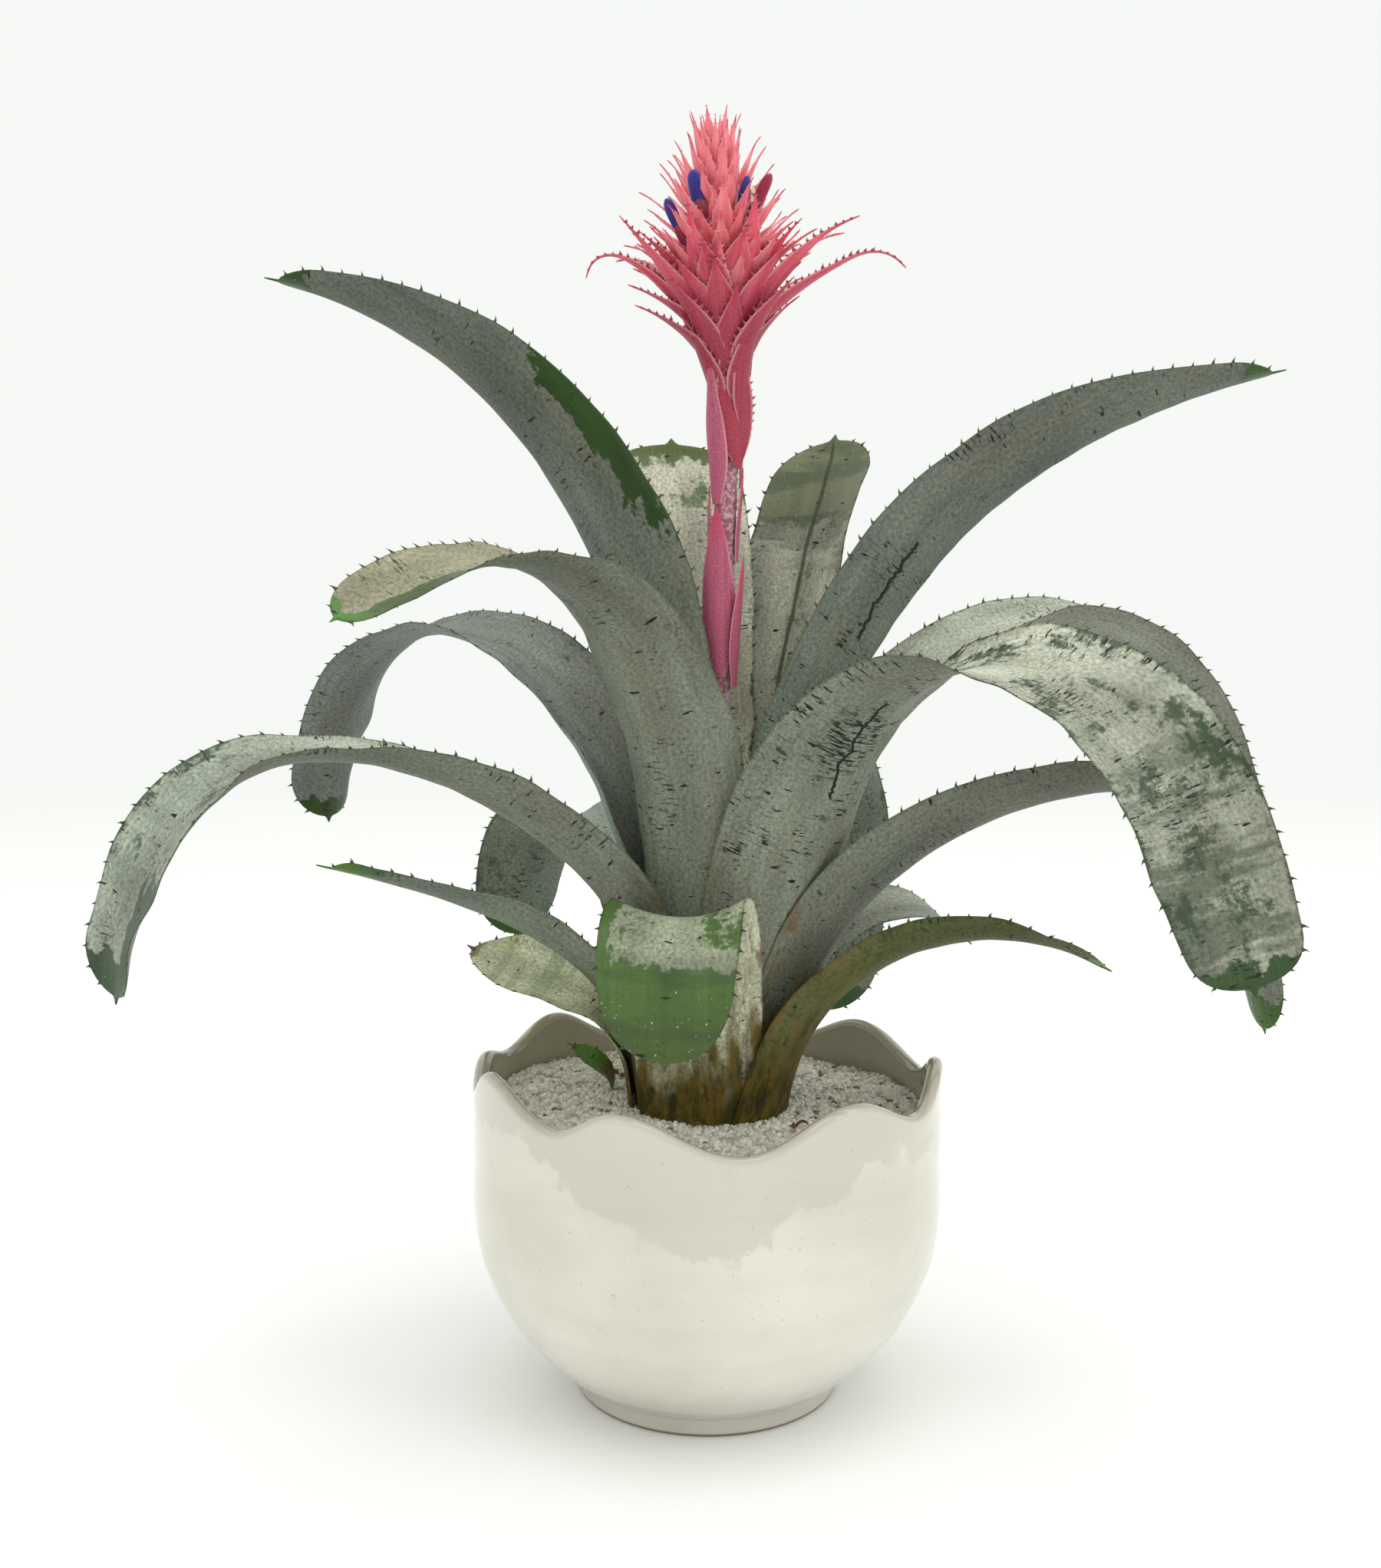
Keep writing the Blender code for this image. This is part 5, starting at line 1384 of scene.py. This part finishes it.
def core_radius(z):
    """Radius of the head's solid middle at height z above its foot."""
    return np.interp(z, CORE_HEIGHTS, CORE_RADII)


head_pink = pink_bract("salmon_bract", "#EA6A7C", "#D64A64", "#93283F")
tip_pink = pink_bract("floral_bract", "#F28D95", "#E66478", "#B03C54")
points, faces = lathe([(core_radius(z) * 0.9, z, 0) for z in np.linspace(0, 110, 45)], 32)
core_wool = wool("mealy_rose_core", "#D89AA2", "#A33C55")
core = place("head_core", mesh_from("head_core", points, faces), core_wool)
core.data.transform(HEAD)
ready(core, "head_pink", "flower_head")
print("head core:", len(core.data.polygons), "faces")

# %% Long toothed bracts
HEAD_BRACTS = (
    dict(azimuth=352, foot=20, length=81, heading=(60, 42, 28, 18, -50), width=14),
    dict(azimuth=333, foot=26, length=66, heading=(58, 46, 34, 10), width=15),
    dict(azimuth=26, foot=34, length=62, heading=(60, 48, 36, 12), width=13),
    dict(azimuth=212, foot=22, length=62, heading=(64, 56, 50, 42), width=16),
    dict(azimuth=184, foot=26, length=66, heading=(64, 52, 44, 24, -70), width=14),
    dict(azimuth=176, foot=1, length=62, heading=(79, 71, 67, 64), width=11),
    dict(azimuth=272, foot=4, length=60, heading=(88, 86, 76, 70), width=18),
    dict(azimuth=326, foot=-12, length=70, heading=(82, 82, 84, 78), width=13),
    dict(azimuth=292, foot=-27, length=82, heading=(88, 88, 82, 72), width=17,
         channel=(8, 16, 24, 16, 9, 6)),
    dict(azimuth=298, foot=38, length=44, heading=(60, 60, 68, 78), width=18),
    dict(azimuth=244, foot=30, length=50, heading=(64, 62, 70, 80), width=17),
    dict(azimuth=60, foot=26, length=72, heading=(64, 50, 36, 10), width=15),
    dict(azimuth=98, foot=10, length=70, heading=(76, 64, 50, 30), width=16),
    dict(azimuth=136, foot=28, length=70, heading=(64, 50, 36, 4), width=15),
)

# rings of plainer bracts: how many, foot, length, heading, width and first azimuth
FILLERS = ((6, -4, 46, (84, 77, 70, 64), 16, 20), (8, 12, 44, (74, 62, 50, 34), 16, 8),
           (9, 26, 40, (66, 54, 44, 30), 15, 30), (10, 38, 34, (60, 48, 38, 24), 14, 5))
TAPER = (0.06, 0.85, 1, 0.82, 0.5, 0.2, 0.05)   # a bract's width from foot to tip, as shares


def ruff():
    """The bracts read from the picture, and then plain rings of them that fill the funnel."""
    yield from HEAD_BRACTS
    chance = np.random.default_rng(31)
    for count, foot, length, heading, width, start in FILLERS:
        for k in range(count):
            lean = chance.normal(0, 5)
            yield dict(azimuth=start + 360 * k / count + chance.normal(0, 6),
                       foot=foot + chance.normal(0, 2.5), length=length * chance.uniform(0.9, 1.12),
                       heading=[h + lean for h in heading], width=width)


for k, bract in enumerate(ruff(), 1):
    shared = dict(width=[bract["width"] * share for share in TAPER], twist=(0, 0), tip=6, blunt=1.2,
                  ripple=1.2, buckle=0.5, spines_from=0.12)
    leaf = {"channel": (8, 9, 11, 9, 6, 5)} | bract | shared
    reach = core_radius(bract["foot"]) * 0.9 if bract["foot"] > 0 else STALK_RADIUS + 0.9
    mesh = strap(f"ruff_bract_{k}", leaf, reach, bract["foot"], 80 + k, bract["azimuth"], 0.8, 1.8, 12)
    piece = place(f"ruff_bract_{k}", mesh, head_pink)
    grow(piece, spine_tree, Hook=tooth, Step=3.1 * MM, Size=2.2 * MM, Uneven=0.4, Seed=80 + k, Finish=teeth)
    piece.data.transform(HEAD)
    ready(piece, "head_pink")
print("ruff bracts:", k)

# %% Three shapes of floral bract
# each is grown with its teeth and then kept out of the scene, as a pattern for the spiral
SPRIGS = (
    dict(length=25, heading=(-8, 2, 8, -4), width=(5, 9.4, 8.6, 5, 2, 0.5)),
    dict(length=22, heading=(-4, -2, 4, 8), width=(4.5, 8.4, 7.4, 4.2, 1.7, 0.4)),
    dict(length=28, heading=(-8, 4, 2, -12), width=(4, 7.4, 6, 3.4, 1.4, 0.4)),
)
sprigs = bpy.data.collections.new("sprigs")
for k, sprig in enumerate(SPRIGS):
    leaf = dict(sprig, channel=(4.6, 5, 4.4, 3), twist=(0, 0), tip=3, mucro=1.6, blunt=1.2,
                ripple=0.6, buckle=0.3, spines_from=0.2)
    item = place(f"sprig_{k}", strap(f"sprig_{k}", leaf, 0, 0, 20 + k, 0, 0.7, 2.8, 6), tip_pink)
    grow(item, spine_tree, Hook=tooth, Step=4.2 * MM, Size=1.0 * MM, Uneven=0.4, Seed=k, Finish=tip_pink)
    scene.collection.objects.unlink(item)
    sprigs.objects.link(item)

# %% Spiral of floral bracts
sprout_tree, given = tree_with("bracts_on_spiral", (
    ("Shapes", "Collection"), ("Size", "Float"), ("Uneven", "Float"), ("Seed", "Int"),
    ("Finish", "Material")))
named = partial(add, sprout_tree, "GeometryNodeInputNamedAttribute")
shapes = add(sprout_tree, "GeometryNodeCollectionInfo",
             {"Collection": given["Shapes"], "Separate Children": True, "Reset Children": True})
facing = add(sprout_tree, "FunctionNodeAxesToRotation",
             {"Primary Axis": named(["aim"], data_type="FLOAT_VECTOR"),
              "Secondary Axis": named(["rise"], data_type="FLOAT_VECTOR")},
             primary_axis="X", secondary_axis="Z")
size = add(sprout_tree, "Math", [given["Size"], named(["swell"], data_type="FLOAT")], **TIMES)
sprouts = add(sprout_tree, "GeometryNodeInstanceOnPoints",
              {"Points": given["Geometry"], "Instance": shapes, "Pick Instance": True, "Rotation": facing,
               "Scale": uneven(sprout_tree, given, size)})
finish_tree(sprout_tree, sprouts, given["Finish"])

# %% Where each flower stands
# azimuth, radius and height of its foot, lean, length and thickness
FLOWERS = dict(
    blue_1=(238, 11.5, 67, 14, 26, 3.3),
    blue_2=(208, 13.0, 60, 26, 25, 2.5),
    blue_3=(306, 11.0, 66, 24, 24, 2.2),
    red=(338, 11.0, 70, 32, 24, 2.4),
)


def flower_axis(where, radius, low, lean, *_):
    """Foot and direction of a flower, in the head's own frame."""
    turn, tilt = math.radians(where), math.radians(lean)
    way = np.array([math.sin(tilt) * math.cos(turn), math.sin(tilt) * math.sin(turn), math.cos(tilt)])
    return np.array([radius * math.cos(turn), radius * math.sin(turn), low]), way


# %% Points of the spiral
GOLDEN_ANGLE = 137.508
FLORAL_BRACTS = 142
FLOWER_ROOM = 4.2           # mm that a bract stays away from a flower's axis

k = np.arange(FLORAL_BRACTS)
part = k / (FLORAL_BRACTS - 1)
chance = np.random.default_rng(9)
azimuth = np.radians(k * GOLDEN_ANGLE + chance.normal(0, 4, FLORAL_BRACTS))
level = 36 + 67 * part ** 0.92
climb = np.radians(spread((50, 38, 40, 54, 68, 80), part) + chance.normal(0, 5, FLORAL_BRACTS))
radius = core_radius(level) * 0.76
foot = np.stack([radius * np.cos(azimuth), radius * np.sin(azimuth), level], 1)
aim = np.stack([np.cos(climb) * np.cos(azimuth), np.cos(climb) * np.sin(azimuth), np.sin(climb)], 1)
rise = np.stack([-np.sin(climb) * np.cos(azimuth), -np.sin(climb) * np.sin(azimuth), np.cos(climb)], 1)
swell = 1.08 - 0.46 * part

# leave out the bracts that a flower grows through
clear = np.ones(FLORAL_BRACTS, bool)
for flower in FLOWERS.values():
    start, way = flower_axis(*flower)
    for reached in (8, 15, 22):
        gap = foot + aim * (swell * reached)[:, None] - start
        clear &= np.linalg.norm(gap - (gap @ way)[:, None] * way, axis=1) > FLOWER_ROOM
foot, aim, rise, swell = foot[clear], aim[clear], rise[clear], swell[clear]
print("spiral:", len(foot), "points")

# %% Grow the floral bracts
spiral = bpy.data.meshes.new("floral_bracts")
spiral.from_pydata([tuple(p) for p in foot * MM], [], [])
note(spiral, "aim", aim, "FLOAT_VECTOR")
note(spiral, "rise", rise, "FLOAT_VECTOR")
note(spiral, "swell", swell)
clusters = place("floral_bracts", spiral)
grow(clusters, sprout_tree, Shapes=sprigs, Size=1.0, Uneven=0.18, Seed=4, Finish=tip_pink)
clusters.data.transform(HEAD)
ready(clusters, "head_pink")
print("floral bracts:", len(clusters.data.polygons), "faces")

# %% [markdown]
# ## Flowers
#
# Three violet-blue flowers and one faded crimson one stick out of the bracts. Each is a tube of
# three petals rolled round one another, held in a calyx that darkens to maroon. The roll is cut
# into a turned tube as three twisting steps, which reads as overlapping petals. One older petal
# has dried to a straw-coloured curl, which is a very narrow blade from the leaf's own function.

# %% Rolled petals
def silky_petal(name, tone, deep):
    """Thin silky petal, IOR 1.4, with a little sheen and streaks 1 to 2 mm apart."""
    mat, tree, shader = blank(name, 0.38, 1.4, Sheen_Weight=0.25, Sheen_Roughness=0.4)
    space = add(tree, "TexCoord", pick="Object")
    drawn = add(tree, "Mapping", {"Vector": space, "Scale": (700, 700, 90)})
    streak = add(tree, "TexNoise", {"Vector": drawn, "Scale": 1.0, "Detail": 2.0})
    tree.links.new(add(tree, "Mix", [streak, srgb(deep), srgb(tone)], **COLOR), shader["Base Color"])
    return mat


def rolled_tube(name, profile, petals, step, twist):
    """A closed tube whose wall steps in petals times around, twisting as it climbs."""
    turn = np.arange(30) * 2 * math.pi / 30
    rings = []
    for radius, height in profile:
        phase = (turn + twist * height / 25) * petals / (2 * math.pi) % 1
        r = radius * (1 + step * (phase - 0.5))
        rings.append(np.stack([r * np.cos(turn), r * np.sin(turn), 0 * turn + height], 1))
    return mesh_from(name, *tube(np.array(rings)), 40)


# %% The four flowers
violet = silky_petal("silky_violet_petal", "#2F2594", "#1B104E")
crimson = silky_petal("silky_crimson_petal", "#B02A4E", "#6E1030")
calyx_skin = silky_petal("fleshy_maroon_calyx", "#A03A55", "#5E1730")

# height and radius from foot to tip, as shares of the flower's length and thickness
PETAL_PROFILE = ((0, 0.5), (0.2, 0.7), (0.4, 0.86), (0.55, 0.97), (0.7, 1.0), (0.8, 0.97), (0.88, 0.86),
                 (0.94, 0.68), (0.98, 0.42), (1.0, 0.15))
CALYX_PROFILE = ((0, 0.62), (0.1, 0.86), (0.25, 1.02), (0.38, 1.1), (0.46, 1.08), (0.52, 1.0), (0.55, 0.9))

for name, (*axis, long, thick) in FLOWERS.items():
    start, way = (Vector(v) for v in flower_axis(*axis))
    seat = HEAD @ Matrix.Translation(start * MM) @ way.to_track_quat("Z", "Y").to_matrix().to_4x4()
    petals = [(thick * r, long * h) for h, r in PETAL_PROFILE]
    calyx = [(thick * r, long * h) for h, r in CALYX_PROFILE]
    flower = place("petals_" + name, rolled_tube("petals_" + name, petals, 3, 0.16, 2.2),
                   crimson if name == "red" else violet)
    cup = place("calyx_" + name, rolled_tube("calyx_" + name, calyx, 3, 0.1, 1.2), calyx_skin)
    for item in (flower, cup):
        item.data.transform(seat)
    ready(flower, "red_petal" if name == "red" else "blue_petal", "flower_" + name)
    ready(cup, "red_petal")
print("flowers:", len(FLOWERS))

# %% A petal that dried to a curl
CURL_PLACE = (14, -13, 76)
DRIED = dict(length=15, heading=(80, 86, 60, -10, -80), width=(1.6, 2.2, 1.8, 1.2, 0.8), tip=2, mucro=1,
             channel=(1.2, 1.2, 1.2, 1.2), twist=(0, 40, 90), ripple=0.3)
curl_mesh = strap("dried_curl", DRIED, 0, 0, 47, 80, 0.4, 1.0, 6)
curl_mesh.transform(HEAD @ Matrix.Translation(Vector(CURL_PLACE) * MM))
straw = silky_petal("dried_straw_petal", "#E6D6BE", "#A98F74")
ready(place("dried_curl", curl_mesh, straw), "red_petal")
print("dried petal:", len(curl_mesh.polygons), "faces")
